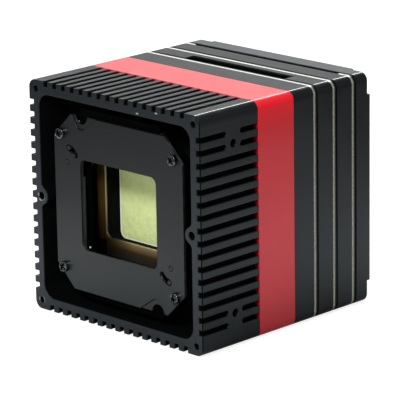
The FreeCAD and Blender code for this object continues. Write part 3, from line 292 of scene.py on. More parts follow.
    grit = add(tree, "ShaderNodeTexNoise", {"Vector": place, "Scale": 1 / BEAD_GRIT, "Detail": 3.0})
    flattened = {"Value": brightened, 3: GRIT_DEPTH, 4: BURNISHED_GRIT * GRIT_DEPTH}
    depth = add(tree, "ShaderNodeMapRange", flattened)
    normal = add(tree, "ShaderNodeBump", {"Height": grit, "Distance": depth})
    sockets = {"Base Color": tone, "Roughness": gloss, "IOR": ior, "Specular IOR Level": shine,
               "Specular Tint": COOL_GLOSS, "Sheen Weight": haze, "Sheen Roughness": FILM_ROUGHNESS,
               "Normal": normal}
    add(tree, "ShaderNodeOutputMaterial", {"Surface": add(tree, "ShaderNodeBsdfPrincipled", sockets)})
    return made


def eased(name, width, edge_slot=-1):
    """Copy of a CAD piece with broken edges: equal corners merged, coplanar triangles joined,
    then every sharp edge cut back by a small rounded bevel, with normals weighted by area.
    The bevels take the piece's own material, or the one in a slot of their own."""
    made = bmesh.new()
    made.from_mesh(nodes[name].data)
    bmesh.ops.remove_doubles(made, verts=made.verts, dist=WELD)
    bmesh.ops.dissolve_limit(made, angle_limit=COPLANAR, verts=made.verts, edges=made.edges)
    mesh = bpy.data.meshes.new(f"{name}_eased")
    made.to_mesh(mesh)
    made.free()
    mesh.polygons.foreach_set("use_smooth", np.ones(len(mesh.polygons), bool))
    piece = bpy.data.objects.new(f"{name}_eased", mesh)
    bpy.context.scene.collection.objects.link(piece)
    bevel = piece.modifiers.new("broken edges", "BEVEL")
    bevel.width = width
    bevel.segments = 2
    bevel.limit_method = "ANGLE"
    bevel.angle_limit = SHARP
    bevel.use_clamp_overlap = False
    bevel.material = edge_slot
    piece.modifiers.new("flat faces", "WEIGHTED_NORMAL").weight = 90
    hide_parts(name)
    return piece


def dress(piece, body, material):
    """Gives a new piece its material and its body."""
    piece.data.materials.clear()
    piece.data.materials.append(material)
    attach(piece, body)


def paint(name, material):
    """Gives a CAD node its material."""
    nodes[name].data.materials.clear()
    nodes[name].data.materials.append(material)


# Black dye in blasted oxide: a dark, slightly cool satin that greys where light grazes it.
black_anodised = anodised(
    "black anodised aluminium, bead blasted", BLACK_DYE, BLACK_DYE_FADED, RECESS_SHADE, foot_shade=1.0, crest_lit=1.0,
    roughness=0.34, ior=1.42, sheen=0.0, dust=0.15, top_shine=0.23, crown=0.8 * MM)
dress(eased("front_housing", HOUSING_EDGE), "module", black_anodised)


# Detector: a ceramic package with a coated germanium window, soldered by two columns of
# leads to its board. A gold-plated trim ring on the housing's floor frames the window.
WINDOW_GREEN = "#E6F4AA"
WINDOW_GREEN_DEEP = "#D8E69C"
WINDOW_RIM = "#FFFFF0"
WINDOW_MOTTLE = 1.2 * MM
WINDOW_SPECK = 0.45 * MM
WINDOW_SPECK_CUT = (0.62, 0.7)
WINDOW_SPECK_COVER = 0.7
SETTLED = 3 * MM
OPENING_RADIUS = 1.4 * MM
OPENING_CORE = (9.4 * MM - OPENING_RADIUS, 1.0, 8.3 * MM - OPENING_RADIUS)
RIM_WIDTH = 0.22 * MM
CLOUD_CUT = (0.3, 0.7)

# Trim ring: its edges, measured from the optical axis, and its painted light and shade.
RING_EDGE = 0.14 * MM
RING_INNER_X = 9.8 * MM
RING_OUTER_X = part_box("detector_trim_ring")[1][0]
RING_INNER_Z = 7.65 * MM
RING_GOLD = "#7A5C2C"
RING_GOLD_PALE = "#8C6C38"
RING_GOLD_GLOW = "#E6CE98"
RING_EDGE_HIGHLIGHT = "#B0A684"
RING_GREY_OUTER = "#5A584E"
RING_SHADE = "#0C0B08"
RING_CLOUD = 2.5 * MM
EDGE_HIGHLIGHT_WIDTH = 0.17 * MM
GLOW_FROM = RING_INNER_Z - 1.0 * MM
GLOW_FADE = (RING_INNER_Z + 0.2 * MM, RING_INNER_Z + 1.7 * MM)
GLOW_MIDDLE = (10.0 * MM, 3.0 * MM)
GREY_OUTER_FADE = (RING_INNER_Z + 1.3 * MM, RING_INNER_Z + 2.6 * MM)
SHADED_CORNER = RING_INNER_Z + 0.5 * MM
SHADE_SPOT = (-11.0 * MM, 0, 12.6 * MM)
SHADE_FADE = (2.5 * MM, 9.0 * MM)
SHADE_COVER = 0.75


def coated_window():
    """Germanium with a broadband coating: a soft sheen of pale yellow green, faintly mottled, with dust
    settled in its lower half and a pale ground rim along the opening."""
    made, tree, place = new_material("coated germanium, satin")
    cloud = add(tree, "ShaderNodeTexNoise", {"Vector": place, "Scale": 1 / WINDOW_MOTTLE, "Detail": 5.0})
    mottle = add(tree, "ShaderNodeMapRange", {"Value": cloud, 1: CLOUD_CUT[0], 2: CLOUD_CUT[1]})
    greens = {"Factor": mottle, 6: WINDOW_GREEN, 7: WINDOW_GREEN_DEEP}
    tone = add(tree, "ShaderNodeMix", greens, 2, data_type="RGBA")
    grain = add(tree, "ShaderNodeTexNoise", {"Vector": place, "Scale": 1 / WINDOW_SPECK, "Detail": 2.0})
    cut = {"Value": grain, 1: WINDOW_SPECK_CUT[0], 2: WINDOW_SPECK_CUT[1], 4: WINDOW_SPECK_COVER}
    speck = add(tree, "ShaderNodeMapRange", cut)
    upright = add(tree, "ShaderNodeSeparateXYZ", {0: place}, "Z")
    settled = add(tree, "ShaderNodeMapRange", {"Value": upright, 1: AXIS_Z, 2: AXIS_Z - SETTLED})
    speck = add(tree, "ShaderNodeMath", {0: speck, 1: settled}, operation="MULTIPLY")
    across = add(tree, "ShaderNodeVectorMath", {0: place, 1: (0, 0, AXIS_Z)}, operation="SUBTRACT")
    across = add(tree, "ShaderNodeVectorMath", {0: across}, operation="ABSOLUTE")
    across = add(tree, "ShaderNodeVectorMath", {0: across, 1: OPENING_CORE}, operation="SUBTRACT")
    across = add(tree, "ShaderNodeVectorMath", {0: across, 1: (0, 0, 0)}, operation="MAXIMUM")
    reach = add(tree, "ShaderNodeVectorMath", {0: across}, "Value", operation="LENGTH")
    rim = add(tree, "ShaderNodeMath", {0: reach, 1: OPENING_RADIUS - RIM_WIDTH}, operation="GREATER_THAN")
    pale = add(tree, "ShaderNodeMath", {0: speck, 1: rim}, operation="MAXIMUM")
    tone = add(tree, "ShaderNodeMix", {"Factor": pale, 6: tone, 7: WINDOW_RIM}, 2, data_type="RGBA")
    sockets = {"Base Color": tone, "Roughness": 0.33, "Specular IOR Level": 0.34}
    add(tree, "ShaderNodeOutputMaterial", {"Surface": add(tree, "ShaderNodeBsdfPrincipled", sockets)})
    return made


def plain(name, colour, deeper, size, roughness, metallic=0.0, shine=0.5):
    """Stock of one material, with a slight cloud of a second tone whose lumps have the given size."""
    made, tree, place = new_material(name)
    cloud = add(tree, "ShaderNodeTexNoise", {"Vector": place, "Scale": 1 / size, "Detail": 4.0})
    mottle = add(tree, "ShaderNodeMapRange", {"Value": cloud, 1: CLOUD_CUT[0], 2: CLOUD_CUT[1]})
    tone = add(tree, "ShaderNodeMix", {"Factor": mottle, 6: colour, 7: deeper}, 2, data_type="RGBA")
    sockets = {"Base Color": tone, "Metallic": metallic, "Roughness": roughness, "Specular IOR Level": shine}
    add(tree, "ShaderNodeOutputMaterial", {"Surface": add(tree, "ShaderNodeBsdfPrincipled", sockets)})
    return made


def trim_gold():
    """Gold plate, brown: painted bright along the inner edges above and below the window, a painted glow,
    with painted highlights along the lips of its side bars, greyer further out, and painted shade in its
    inner corners and towards the lower left."""
    made, tree, place = new_material("gold-plated brass, satin")
    cloud = add(tree, "ShaderNodeTexNoise", {"Vector": place, "Scale": 1 / RING_CLOUD, "Detail": 4.0})
    tone = add(tree, "ShaderNodeMix", {"Factor": cloud, 6: RING_GOLD, 7: RING_GOLD_PALE}, 2, data_type="RGBA")
    level = add(tree, "ShaderNodeSeparateXYZ", {0: place}, "Z")
    level = add(tree, "ShaderNodeMath", {0: level, 1: AXIS_Z}, operation="SUBTRACT")
    level = add(tree, "ShaderNodeMath", {0: level}, operation="ABSOLUTE")
    sideways = add(tree, "ShaderNodeSeparateXYZ", {0: place}, "X")
    sideways = add(tree, "ShaderNodeMath", {0: sideways}, operation="ABSOLUTE")
    # Painted glow: brighter along the inner edges above and below the window.
    fade = {"Value": level, 1: GLOW_FADE[0], 2: GLOW_FADE[1], 3: 1.0, 4: 0.0}
    outward = add(tree, "ShaderNodeMapRange", fade)
    beyond = add(tree, "ShaderNodeMapRange", {"Value": level, 1: GLOW_FROM, 2: RING_INNER_Z})
    middle = add(tree, "ShaderNodeMapRange", {"Value": sideways, 1: GLOW_MIDDLE[0], 2: GLOW_MIDDLE[1]})
    brightened = add(tree, "ShaderNodeMath", {0: outward, 1: beyond}, operation="MULTIPLY")
    brightened = add(tree, "ShaderNodeMath", {0: brightened, 1: middle}, operation="MULTIPLY")
    tone = add(tree, "ShaderNodeMix", {"Factor": brightened, 6: tone, 7: RING_GOLD_GLOW}, 2, data_type="RGBA")
    # Greyer further from the window.
    greyer = add(tree, "ShaderNodeMapRange", {"Value": level, 1: GREY_OUTER_FADE[0], 2: GREY_OUTER_FADE[1]})
    tone = add(tree, "ShaderNodeMix", {"Factor": greyer, 6: tone, 7: RING_GREY_OUTER}, 2, data_type="RGBA")
    # Painted highlights on the lips of the side bars.
    inner = add(tree, "ShaderNodeMath", {0: sideways, 1: RING_INNER_X, 2: EDGE_HIGHLIGHT_WIDTH}, operation="COMPARE")
    outer = add(tree, "ShaderNodeMath", {0: sideways, 1: RING_OUTER_X, 2: EDGE_HIGHLIGHT_WIDTH}, operation="COMPARE")
    edge_highlight = add(tree, "ShaderNodeMath", {0: inner, 1: outer}, operation="MAXIMUM")
    beside = add(tree, "ShaderNodeMath", {0: level, 1: RING_INNER_Z}, operation="LESS_THAN")
    edge_highlight = add(tree, "ShaderNodeMath", {0: edge_highlight, 1: beside}, operation="MULTIPLY")
    tone = add(tree, "ShaderNodeMix", {"Factor": edge_highlight, 6: tone, 7: RING_EDGE_HIGHLIGHT}, 2, data_type="RGBA")
    # Painted shade in the inner corners and towards the lower left.
    corner = add(tree, "ShaderNodeMath", {0: sideways, 1: RING_INNER_X}, operation="GREATER_THAN")
    over = add(tree, "ShaderNodeMath", {0: level, 1: SHADED_CORNER}, operation="GREATER_THAN")
    corner = add(tree, "ShaderNodeMath", {0: corner, 1: over}, operation="MULTIPLY")
    plan = add(tree, "ShaderNodeVectorMath", {0: place, 1: (1, 0, 1)}, operation="MULTIPLY")
    away = add(tree, "ShaderNodeVectorMath", {0: plan, 1: SHADE_SPOT}, "Value", operation="DISTANCE")
    fade = {"Value": away, 1: SHADE_FADE[0], 2: SHADE_FADE[1], 3: SHADE_COVER, 4: 0.0}
    painted_shade = add(tree, "ShaderNodeMapRange", fade)
    painted_shade = add(tree, "ShaderNodeMath", {0: painted_shade, 1: corner}, operation="MAXIMUM")
    tone = add(tree, "ShaderNodeMix", {"Factor": painted_shade, 6: tone, 7: RING_SHADE}, 2, data_type="RGBA")
    sockets = {"Base Color": tone, "Metallic": 0.8, "Roughness": 0.4}
    add(tree, "ShaderNodeOutputMaterial", {"Surface": add(tree, "ShaderNodeBsdfPrincipled", sockets)})
    return made


gold = trim_gold()
# Fired alumina is a matt, warm grey.
ceramic = plain("alumina ceramic, fired", "#5B5955", "#4C4A47", size=3 * MM, roughness=0.6)
# Polished silicon is a dark, bluish mirror.
silicon = plain("silicon die, polished", "#2A2C38", "#33353F", size=2 * MM, roughness=0.2)
paint("detector_window", coated_window())
dress(eased("detector_trim_ring", RING_EDGE), "module", gold)
paint("detector_leads", gold)
paint("detector_package", ceramic)
paint("detector_chip", silicon)


# Shutter: a moulded base and two blanked steel plates, held by four small screws. Two
# thin blades slide between them, each worked by a bell-crank lever on a magnet rotor
# that turns in a yoke with a coil.
PLATE_EDGE = 0.07 * MM
PLATE_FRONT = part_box("shutter_cover_plate")[0][1]
PLATE_CLOUD = 5 * MM
PLATE_LIT_SPAN = (24 * MM, 4 * MM)
PLATE_UPPER = "#111416"
PLATE_UPPER_CLOUD = "#171B1C"
PLATE_LOWER = "#22282A"
PLATE_LOWER_CLOUD = "#292F31"
CHAMBER_WALL = 10.75 * MM
CHAMBER_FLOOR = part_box("shutter_base")[0][1] + 1.4 * MM
WALL_BAND = 0.06 * MM
WALL_FADE = 0.7 * MM
NYLON_BLACK = "#020203"
NYLON_LIT_WALL = "#7C8486"
NYLON_SHINE = (0.02, 0.5)
BEAD_SPOT = (-10.0 * MM, CHAMBER_FLOOR, 13.68 * MM)
BEAD_RADIUS = 0.2 * MM
BEAD_AROUND = 24
BEAD_ROWS = 13

# Screws: head and shank are each a radius and a height.
SHUTTER_HEAD = (1.05 * MM, 0.95 * MM)
SHUTTER_SHANK = (0.75 * MM, 5.4 * MM)
SHUTTER_SCREW_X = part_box("shutter_screws")[1][0] - SHUTTER_HEAD[0]
SHUTTER_SCREW_Z = 13.0 * MM
SCREW_TURNS = (0.3, 1.1, 0.75, 0.1)
SCREW_SHARP = math.radians(38)
HEAD_STEPS = 72
HEAD_ROWS = 22
RIM_ROWS = 5
# Shares of the head's radius: its rounded rim, then the cross recess.
RIM_BULGE = 0.18
GROOVE_HALF = 0.3
GROOVE_TAPER = 0.16
GROOVE_SLOPE = 0.07
GROOVE_END = 0.8
GROOVE_END_SLOPE = 0.22
GROOVE_DEPTH = 0.6
# Shares of the rim's bulge: the fall of the domed top, then the drop round the rim.
DOME_FALL = 0.6
RIM_DROP = 0.8
# Faces cut deeper than this share of the recess take its painted shade.
SUNK_SHARE = 0.3


def cross_recess(across, along, radius):
    """Depth from 0 to 1 of a cross recess: two tapered grooves at right angles, sloped at their ends."""
    near = np.minimum(np.abs(across), np.abs(along))
    far = np.maximum(np.abs(across), np.abs(along))
    groove = np.clip((GROOVE_HALF * radius - GROOVE_TAPER * far - near) / (GROOVE_SLOPE * radius), 0, 1)
    return groove * np.clip((GROOVE_END * radius - far) / (GROOVE_END_SLOPE * radius), 0, 1)


def new_piece(name, points, faces):
    """Object with a new mesh of points and faces, equal corners merged and faces turned outward."""
    mesh = bpy.data.meshes.new(name)
    mesh.from_pydata(points.tolist(), [], faces.tolist())
    made = bmesh.new()
    made.from_mesh(mesh)
    bmesh.ops.remove_doubles(made, verts=made.verts, dist=WELD)
    bmesh.ops.recalc_face_normals(made, faces=made.faces)
    made.to_mesh(mesh)
    made.free()
    piece = bpy.data.objects.new(name, mesh)
    bpy.context.scene.collection.objects.link(piece)
    return piece


def screws(name, spots, seat, facing, head, shank):
    """Pan-head screws in one mesh: (row, angle) -> (r cos a, r sin a, h), with the row along the
    profile from the head's middle over its rounded rim and down the shank, less a cross recess."""
    radius, height = head
    shank_radius, shank_length = shank
    bulge = RIM_BULGE * radius
    top = np.linspace(0, radius - bulge, HEAD_ROWS)
    rim = np.linspace(0, math.pi / 2, RIM_ROWS)[1:]
    dome = height - DOME_FALL * bulge * (top / (radius - bulge)) ** 2
    fall = height - (DOME_FALL + RIM_DROP) * bulge + RIM_DROP * bulge * np.cos(rim)
    bend = radius - bulge + bulge * np.sin(rim)
    reach = np.concatenate([top, bend, [radius, shank_radius, shank_radius, 0.0]])
    level = np.concatenate([dome, fall, [0.0, 0.0, -shank_length, -shank_length]])
    angles = np.linspace(0, 2 * math.pi, HEAD_STEPS, endpoint=False)
    on_top = (np.arange(len(reach)) < HEAD_ROWS)[:, None]
    row, column = np.meshgrid(np.arange(len(reach) - 1), np.arange(HEAD_STEPS), indexing="ij")
    after = (column + 1) % HEAD_STEPS
    corners = [row * HEAD_STEPS + column, (row + 1) * HEAD_STEPS + column,
               (row + 1) * HEAD_STEPS + after, row * HEAD_STEPS + after]
    quads = np.stack(corners, -1).reshape(-1, 4)
    u = reach[:, None] * np.cos(angles)
    v = reach[:, None] * np.sin(angles)
    points, faces, sunk = [], [], []
    for number, ((x, z), turn) in enumerate(zip(spots, SCREW_TURNS)):
        across = u * math.cos(turn) + v * math.sin(turn)
        along = v * math.cos(turn) - u * math.sin(turn)
        cut = on_top * cross_recess(across, along, radius)
        h = level[:, None] - GROOVE_DEPTH * radius * cut
        points.append(np.stack([x - facing * u, seat + facing * h, z + v], -1).reshape(-1, 3))
        faces.append(quads + number * u.size)
        sunk.append((cut.ravel()[quads].max(1) > SUNK_SHARE).astype(np.int32))
    piece = new_piece(name, np.concatenate(points), np.concatenate(faces))
    piece.data.polygons.foreach_set("use_smooth", np.ones(len(piece.data.polygons), bool))
    piece.data.set_sharp_from_angle(angle=SCREW_SHARP)
    piece.data.polygons.foreach_set("material_index", np.concatenate(sunk))
    return piece


def glint_bead():
    """Bead on the base: (a, b) -> centre + r (cos a sin b, -cos b, sin a sin b), a sphere half sunk in it."""
    around = np.linspace(0, 2 * math.pi, BEAD_AROUND, endpoint=False)
    a, b = np.meshgrid(around, np.linspace(0, math.pi, BEAD_ROWS), indexing="ij")
    ball = np.stack([np.cos(a) * np.sin(b), -np.cos(b), np.sin(a) * np.sin(b)], -1)
    points = (np.array(BEAD_SPOT) + BEAD_RADIUS * ball).reshape(-1, 3)
    number = np.arange(a.size).reshape(a.shape)
    after = np.roll(number, -1, 0)
    faces = np.stack([number[:, :-1], number[:, 1:], after[:, 1:], after[:, :-1]], -1).reshape(-1, 4)
    piece = new_piece("base_glint_bead", points, faces)
    piece.data.polygons.foreach_set("use_smooth", np.ones(len(piece.data.polygons), bool))
    return piece


def passivated():
    """Black passivated steel: a dark satin, clouded, and painted a paler grey towards its lower end, a
    painted reflection of the lit floor.
    """
    made, tree, place = new_material("cold-rolled steel, black passivated")
    cloud = add(tree, "ShaderNodeTexNoise", {"Vector": place, "Scale": 1 / PLATE_CLOUD, "Detail": 4.0})
    upright = add(tree, "ShaderNodeSeparateXYZ", {0: place}, "Z")
    # Painted reflection: paler towards the lower end.
    lit_lower = add(tree, "ShaderNodeMapRange", {"Value": upright, 1: PLATE_LIT_SPAN[0], 2: PLATE_LIT_SPAN[1]})
    upper = {"Factor": cloud, 6: PLATE_UPPER, 7: PLATE_UPPER_CLOUD}
    upper = add(tree, "ShaderNodeMix", upper, 2, data_type="RGBA")
    lower = {"Factor": cloud, 6: PLATE_LOWER, 7: PLATE_LOWER_CLOUD}
    lower = add(tree, "ShaderNodeMix", lower, 2, data_type="RGBA")
    tone = add(tree, "ShaderNodeMix", {"Factor": lit_lower, 6: upper, 7: lower}, 2, data_type="RGBA")
    sockets = {"Base Color": tone, "Roughness": 0.34, "Specular IOR Level": 0.46}
    add(tree, "ShaderNodeOutputMaterial", {"Surface": add(tree, "ShaderNodeBsdfPrincipled", sockets)})
    return made


def moulded_base():
    """Black moulded nylon, dull and dark; the side walls of its blade chamber are painted a satin grey, a
    painted highlight, and shine more.
    """
    made, tree, place = new_material("glass-filled nylon, moulded black, painted highlight")
    sideways = add(tree, "ShaderNodeSeparateXYZ", {0: place}, "X")
    sideways = add(tree, "ShaderNodeMath", {0: sideways}, operation="ABSOLUTE")
    # Painted highlight on the side walls of the blade chamber.
    wall = add(tree, "ShaderNodeMath", {0: sideways, 1: CHAMBER_WALL, 2: WALL_BAND}, operation="COMPARE")
    along = add(tree, "ShaderNodeSeparateXYZ", {0: place}, "Y")
    forward = {"Value": along, 1: CHAMBER_FLOOR, 2: CHAMBER_FLOOR - WALL_FADE}
    forward = add(tree, "ShaderNodeMapRange", forward)
    brightened = add(tree, "ShaderNodeMath", {0: wall, 1: forward}, operation="MULTIPLY")
    greys = {"Factor": brightened, 6: NYLON_BLACK, 7: NYLON_LIT_WALL}
    tone = add(tree, "ShaderNodeMix", greys, 2, data_type="RGBA")
    shine = add(tree, "ShaderNodeMapRange", {"Value": brightened, 3: NYLON_SHINE[0], 4: NYLON_SHINE[1]})
    sockets = {"Base Color": tone, "Roughness": 0.7, "Specular IOR Level": shine}
    add(tree, "ShaderNodeOutputMaterial", {"Surface": add(tree, "ShaderNodeBsdfPrincipled", sockets)})
    return made


def corners_of(x, z):
    """Four spots at (+-x, +-z) about the optical axis."""
    return [(side * x, AXIS_Z + level * z) for side in (-1, 1) for level in (1, -1)]


plate_steel = passivated()
# Matt black coating swallows the light, so the blades read as a dark hole.
mask_black = plain("cold-rolled steel, matt black", "#020203", "#040404", size=6 * MM, roughness=0.8,
                   shine=0.02)
# Moulded nylon without the painted highlight of the base's chamber walls is dull and nearly black.
black_plastic = plain("glass-filled nylon, moulded black", "#010102", "#030303", size=1.2 * MM, roughness=0.8,
                      shine=0.02)
# Blackened spring steel keeps a dark, metallic glint.
lever_steel = plain("spring steel, blackened", "#3C3E40", "#2E3032", size=0.5 * MM, roughness=0.35,
                    metallic=0.6)
# Blued iron is a dark metal with a soft gloss.
dull_iron = plain("soft iron, blued", "#3E3D3C", "#323130", size=1.5 * MM, roughness=0.4, metallic=1.0)
# Oxidised screw heads stay shiny, with small sharp lights on their rims.
screw_steel = plain("steel screw, black oxide", "#7C7E80", "#48494B", size=0.4 * MM, roughness=0.22,
                    metallic=1.0)
# A blanked edge is bare metal in places, which breaks it into pale and dark stretches.
cut_edge = plain("cold-rolled steel, blanked edge", "#484A4B", "#0C0D0E", size=2.0 * MM, roughness=0.35,
                 metallic=1.0)
# The cross recess is painted black, a painted shade, so that it reads black against the head.
painted_recess_shade = plain("steel recess, painted shade", "#020202", "#050505", size=0.3 * MM, roughness=0.5,
                     shine=0.15)
# Cured epoxy is a small, glossy white drop; its white also stands in for a glint, a painted highlight.
glint_epoxy = plain("epoxy adhesive, cured white, painted glint", "#F4F4F0", "#E6E6E0", size=0.2 * MM, roughness=0.15)
# Enamelled wire is a warm, reddish brown with a metallic gloss.
copper = plain("enamelled copper wire", "#8A4B25", "#70391B", size=0.3 * MM, roughness=0.35, metallic=0.8)
for plate in ("shutter_cover_plate", "shutter_mask_plate"):
    blanked = eased(plate, PLATE_EDGE, 1)
    dress(blanked, "module", plate_steel)
    blanked.data.materials.append(cut_edge)
paint("shutter_base", moulded_base())
for blade in ("upper_shutter_blade", "lower_shutter_blade"):
    paint(blade, mask_black)
for end in ("upper", "lower"):
    paint(f"{end}_drive_lever", lever_steel)
    paint(f"{end}_rotor_magnet", screw_steel)
    paint(f"{end}_actuator_yoke", dull_iron)
    paint(f"{end}_actuator_coil", copper)
dress(glint_bead(), "module", glint_epoxy)
small_screws = screws("shutter_screws_cross", corners_of(SHUTTER_SCREW_X, SHUTTER_SCREW_Z), PLATE_FRONT, -1,
                      SHUTTER_HEAD, SHUTTER_SHANK)
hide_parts("shutter_screws")
dress(small_screws, "module", screw_steel)
small_screws.data.materials.append(painted_recess_shade)


# Spacer ring, frames and rear cover: square frames of aluminium, the first dyed red and
# the rest black, stacked on four long screws with pan heads.
FRAME_EDGE = 0.1 * MM
STACK_HEAD = (1.7 * MM, 0.6 * MM)
STACK_SHANK = (0.95 * MM, 35.2 * MM)
STACK_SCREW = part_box("stack_screws")[1][0] - STACK_HEAD[0]
STACK_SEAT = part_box("stack_screws")[1][1] - STACK_HEAD[1]
RED_DYE = "#BA1420"
RED_DYE_FADED = "#B21A24"
RED_RECESS_SHADE = "#8E0A18"

# Red dye in blasted oxide: a deep satin red, painted brighter at the top and darker at the foot as
# painted light, and pale with film below.
red_anodised = anodised(
    "red anodised aluminium, bead blasted", RED_DYE, RED_DYE_FADED, RED_RECESS_SHADE, foot_shade=0.78, crest_lit=1.35,
    roughness=0.36, ior=1.6, sheen=0.19, dust=0.0, top_shine=0.5, crown=9 * MM)
dress(eased("red_spacer_ring", FRAME_EDGE), "module", red_anodised)
for name in ("front_frame", "middle_frame", "rear_frame", "rear_cover"):
    dress(eased(name, FRAME_EDGE), "module", black_anodised)
long_screws = screws("stack_screws_cross", corners_of(STACK_SCREW, STACK_SCREW), STACK_SEAT, 1,
                     STACK_HEAD, STACK_SHANK)
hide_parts("stack_screws")
dress(long_screws, "module", screw_steel)
long_screws.data.materials.append(painted_recess_shade)


# Boards: glass-epoxy laminate, routed to size and clamped by the long screws, most of them
# between the frames, where their cut edges show outside as pale lines. The rear part of each
# edge is painted black, a painted shade of the gap behind it.
LAMINATE = "#959689"
LAMINATE_DARK = "#64655A"
LAMINATE_TOP_LIT = "#E4E4DA"
GAP_SHADE = "#0B0B0C"
FIRST_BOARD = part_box("processor_board")[0][1]
BOARD_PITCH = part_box("video_board")[0][1] - FIRST_BOARD
LAMINATE_LAYER = 0.44 * MM
GLASS_SPECK = 0.3 * MM
GLASS_CUT = (0.35, 0.65)


def board_edge():
    """Glass-epoxy laminate: greyish and speckled by its cut glass, painted paler on the top as painted
    light, and painted black on the rear of each board, a painted shade of the gap behind it."""
    made, tree, place = new_material("glass-epoxy laminate, routed edge")
    cloud = add(tree, "ShaderNodeTexNoise", {"Vector": place, "Scale": 1 / GLASS_SPECK, "Detail": 4.0})
    glass = add(tree, "ShaderNodeMapRange", {"Value": cloud, 1: GLASS_CUT[0], 2: GLASS_CUT[1]})
    tone = add(tree, "ShaderNodeMix", {"Factor": glass, 6: LAMINATE, 7: LAMINATE_DARK}, 2, data_type="RGBA")
    upright = add(tree, "ShaderNodeSeparateXYZ", {0: place}, "Z")
    # Painted light: the top edges are paler.
    lit_top = add(tree, "ShaderNodeMath", {0: upright, 1: TOP_FACE - SKIN}, operation="GREATER_THAN")
    tone = add(tree, "ShaderNodeMix", {"Factor": lit_top, 6: tone, 7: LAMINATE_TOP_LIT}, 2, data_type="RGBA")
    along = add(tree, "ShaderNodeSeparateXYZ", {0: place}, "Y")
    along = add(tree, "ShaderNodeMath", {0: along, 1: FIRST_BOARD}, operation="SUBTRACT")
    along = add(tree, "ShaderNodeMath", {0: along, 1: BOARD_PITCH}, operation="FLOORED_MODULO")
    # Painted shade: the rear of each board is black.
    gap_shade = add(tree, "ShaderNodeMath", {0: along, 1: LAMINATE_LAYER}, operation="GREATER_THAN")
    tone = add(tree, "ShaderNodeMix", {"Factor": gap_shade, 6: tone, 7: GAP_SHADE}, 2, data_type="RGBA")
    sockets = {"Base Color": tone, "Roughness": 0.3}
    add(tree, "ShaderNodeOutputMaterial", {"Surface": add(tree, "ShaderNodeBsdfPrincipled", sockets)})
    return made


laminate = board_edge()
for name in ("sensor_board", "processor_board", "video_board", "interface_board"):
    paint(name, laminate)


# Parts on the boards: moulded connectors that plug one board into the next, the flat
# port under the slot in the top, and chips and power inductors in moulded cases, all
# soldered to their boards.

# Moulded epoxy is a matt, slightly blue black.
chip_resin = plain("moulded epoxy, matt black", "#17181A", "#1D1E20", size=1 * MM, roughness=0.5)
for name in ("sensor_board_stacker", "video_board_stacker", "interface_board_stacker", "flat_port_connector"):
    paint(name, black_plastic)
for name in ("processor_chip", "memory_chips", "video_chip", "power_inductors"):
    paint(name, chip_resin)


# Rear connector: a moulded shell round a tongue, whose two faces carry rows of flat
# contacts, stamped from bronze and flashed with gold.
CONNECTOR_EDGE = 0.1 * MM
CONTACT_COUNT = 20
CONTACT_PITCH = 0.8 * MM
CONTACT_HALF = 0.19 * MM
CONTACT_ROOT = -0.1 * MM
TONGUE_HALF = 0.7 * MM
CONTACT_RUN = np.array([20.1, 20.3, 22.1, 22.4]) * MM
CONTACT_LIFT = np.array([-0.03, 0.05, 0.05, -0.03]) * MM


def contact_rows():
    """Two rows of contacts: (row, strip, station, corner) -> (pitch * strip + half width * side, run of the
    station, row's face + lift), a rectangle carried along a run that dips into the tongue at both ends."""
    strip = (np.arange(CONTACT_COUNT) - (CONTACT_COUNT - 1) / 2) * CONTACT_PITCH
    side = np.array([-1, -1, 1, 1]) * CONTACT_HALF
    raised = np.array([False, True, True, False])
    row = np.array([1, -1])
    shape = (2, CONTACT_COUNT, len(CONTACT_RUN), 4)
    x = np.broadcast_to(strip[None, :, None, None] + side, shape)
    y = np.broadcast_to(CONTACT_RUN[:, None], shape)
    lift = TONGUE_HALF + np.where(raised, CONTACT_LIFT[:, None], CONTACT_ROOT)
    z = np.broadcast_to(AXIS_Z + row[:, None, None, None] * lift, shape)
    points = np.stack([x, y, z], -1).reshape(-1, 3)
    number = np.arange(points.shape[0]).reshape(-1, len(CONTACT_RUN), 4)
    after = np.roll(number, -1, 2)
    walls = np.stack([number[:, :-1], after[:, :-1], after[:, 1:], number[:, 1:]], -1).reshape(-1, 4)
    ends = np.concatenate([number[:, 0, ::-1], number[:, -1]])
    return new_piece("rear_connector_contacts", points, np.concatenate([walls, ends]))


# Moulded polymer is a soft, dark grey with little gloss.
connector_resin = plain("liquid-crystal polymer, moulded", "#15161A", "#1C1D20", size=0.8 * MM,
                        roughness=0.45, shine=0.4)
# A gold flash over bronze is a warm yellow that catches the light.
contact_gold = plain("phosphor bronze, gold flashed", "#DDB45C", "#C79C48", size=0.6 * MM, roughness=0.35,
                     metallic=0.5)
dress(eased("rear_connector", CONNECTOR_EDGE), "module", connector_resin)
dress(contact_rows(), "module", contact_gold)


# Floor and light: a pale sheet under the module, white to the camera, with a soft pool
# of light on it that fades outwards; a dim dome that is bright near the horizon, a key
# softbox in front, a long strip behind on the left and a broad softbox above.
FLOOR_HALF = 3.0
FLOOR_HEIGHT = -0.02 * MM
PAPER = "#D8D8D6"
PAPER_SHADED = "#8C8C8C"
BLACK = "#000000"
POOL_RISE = (27 * MM, 58 * MM)
POOL_FALL = (85 * MM, 170 * MM)
POOL_INNER = 0.08
POOL_OUTER = 0.06
WHITE_SPAN = (120 * MM, 500 * MM)
WHITE_NEAR = 0.8
DOME = 0.38
HORIZON = 0.5
ZENITH = 0.1
HORIZON_BAND = (0.3, 0.46)
WHITE = "#FFFFFF"


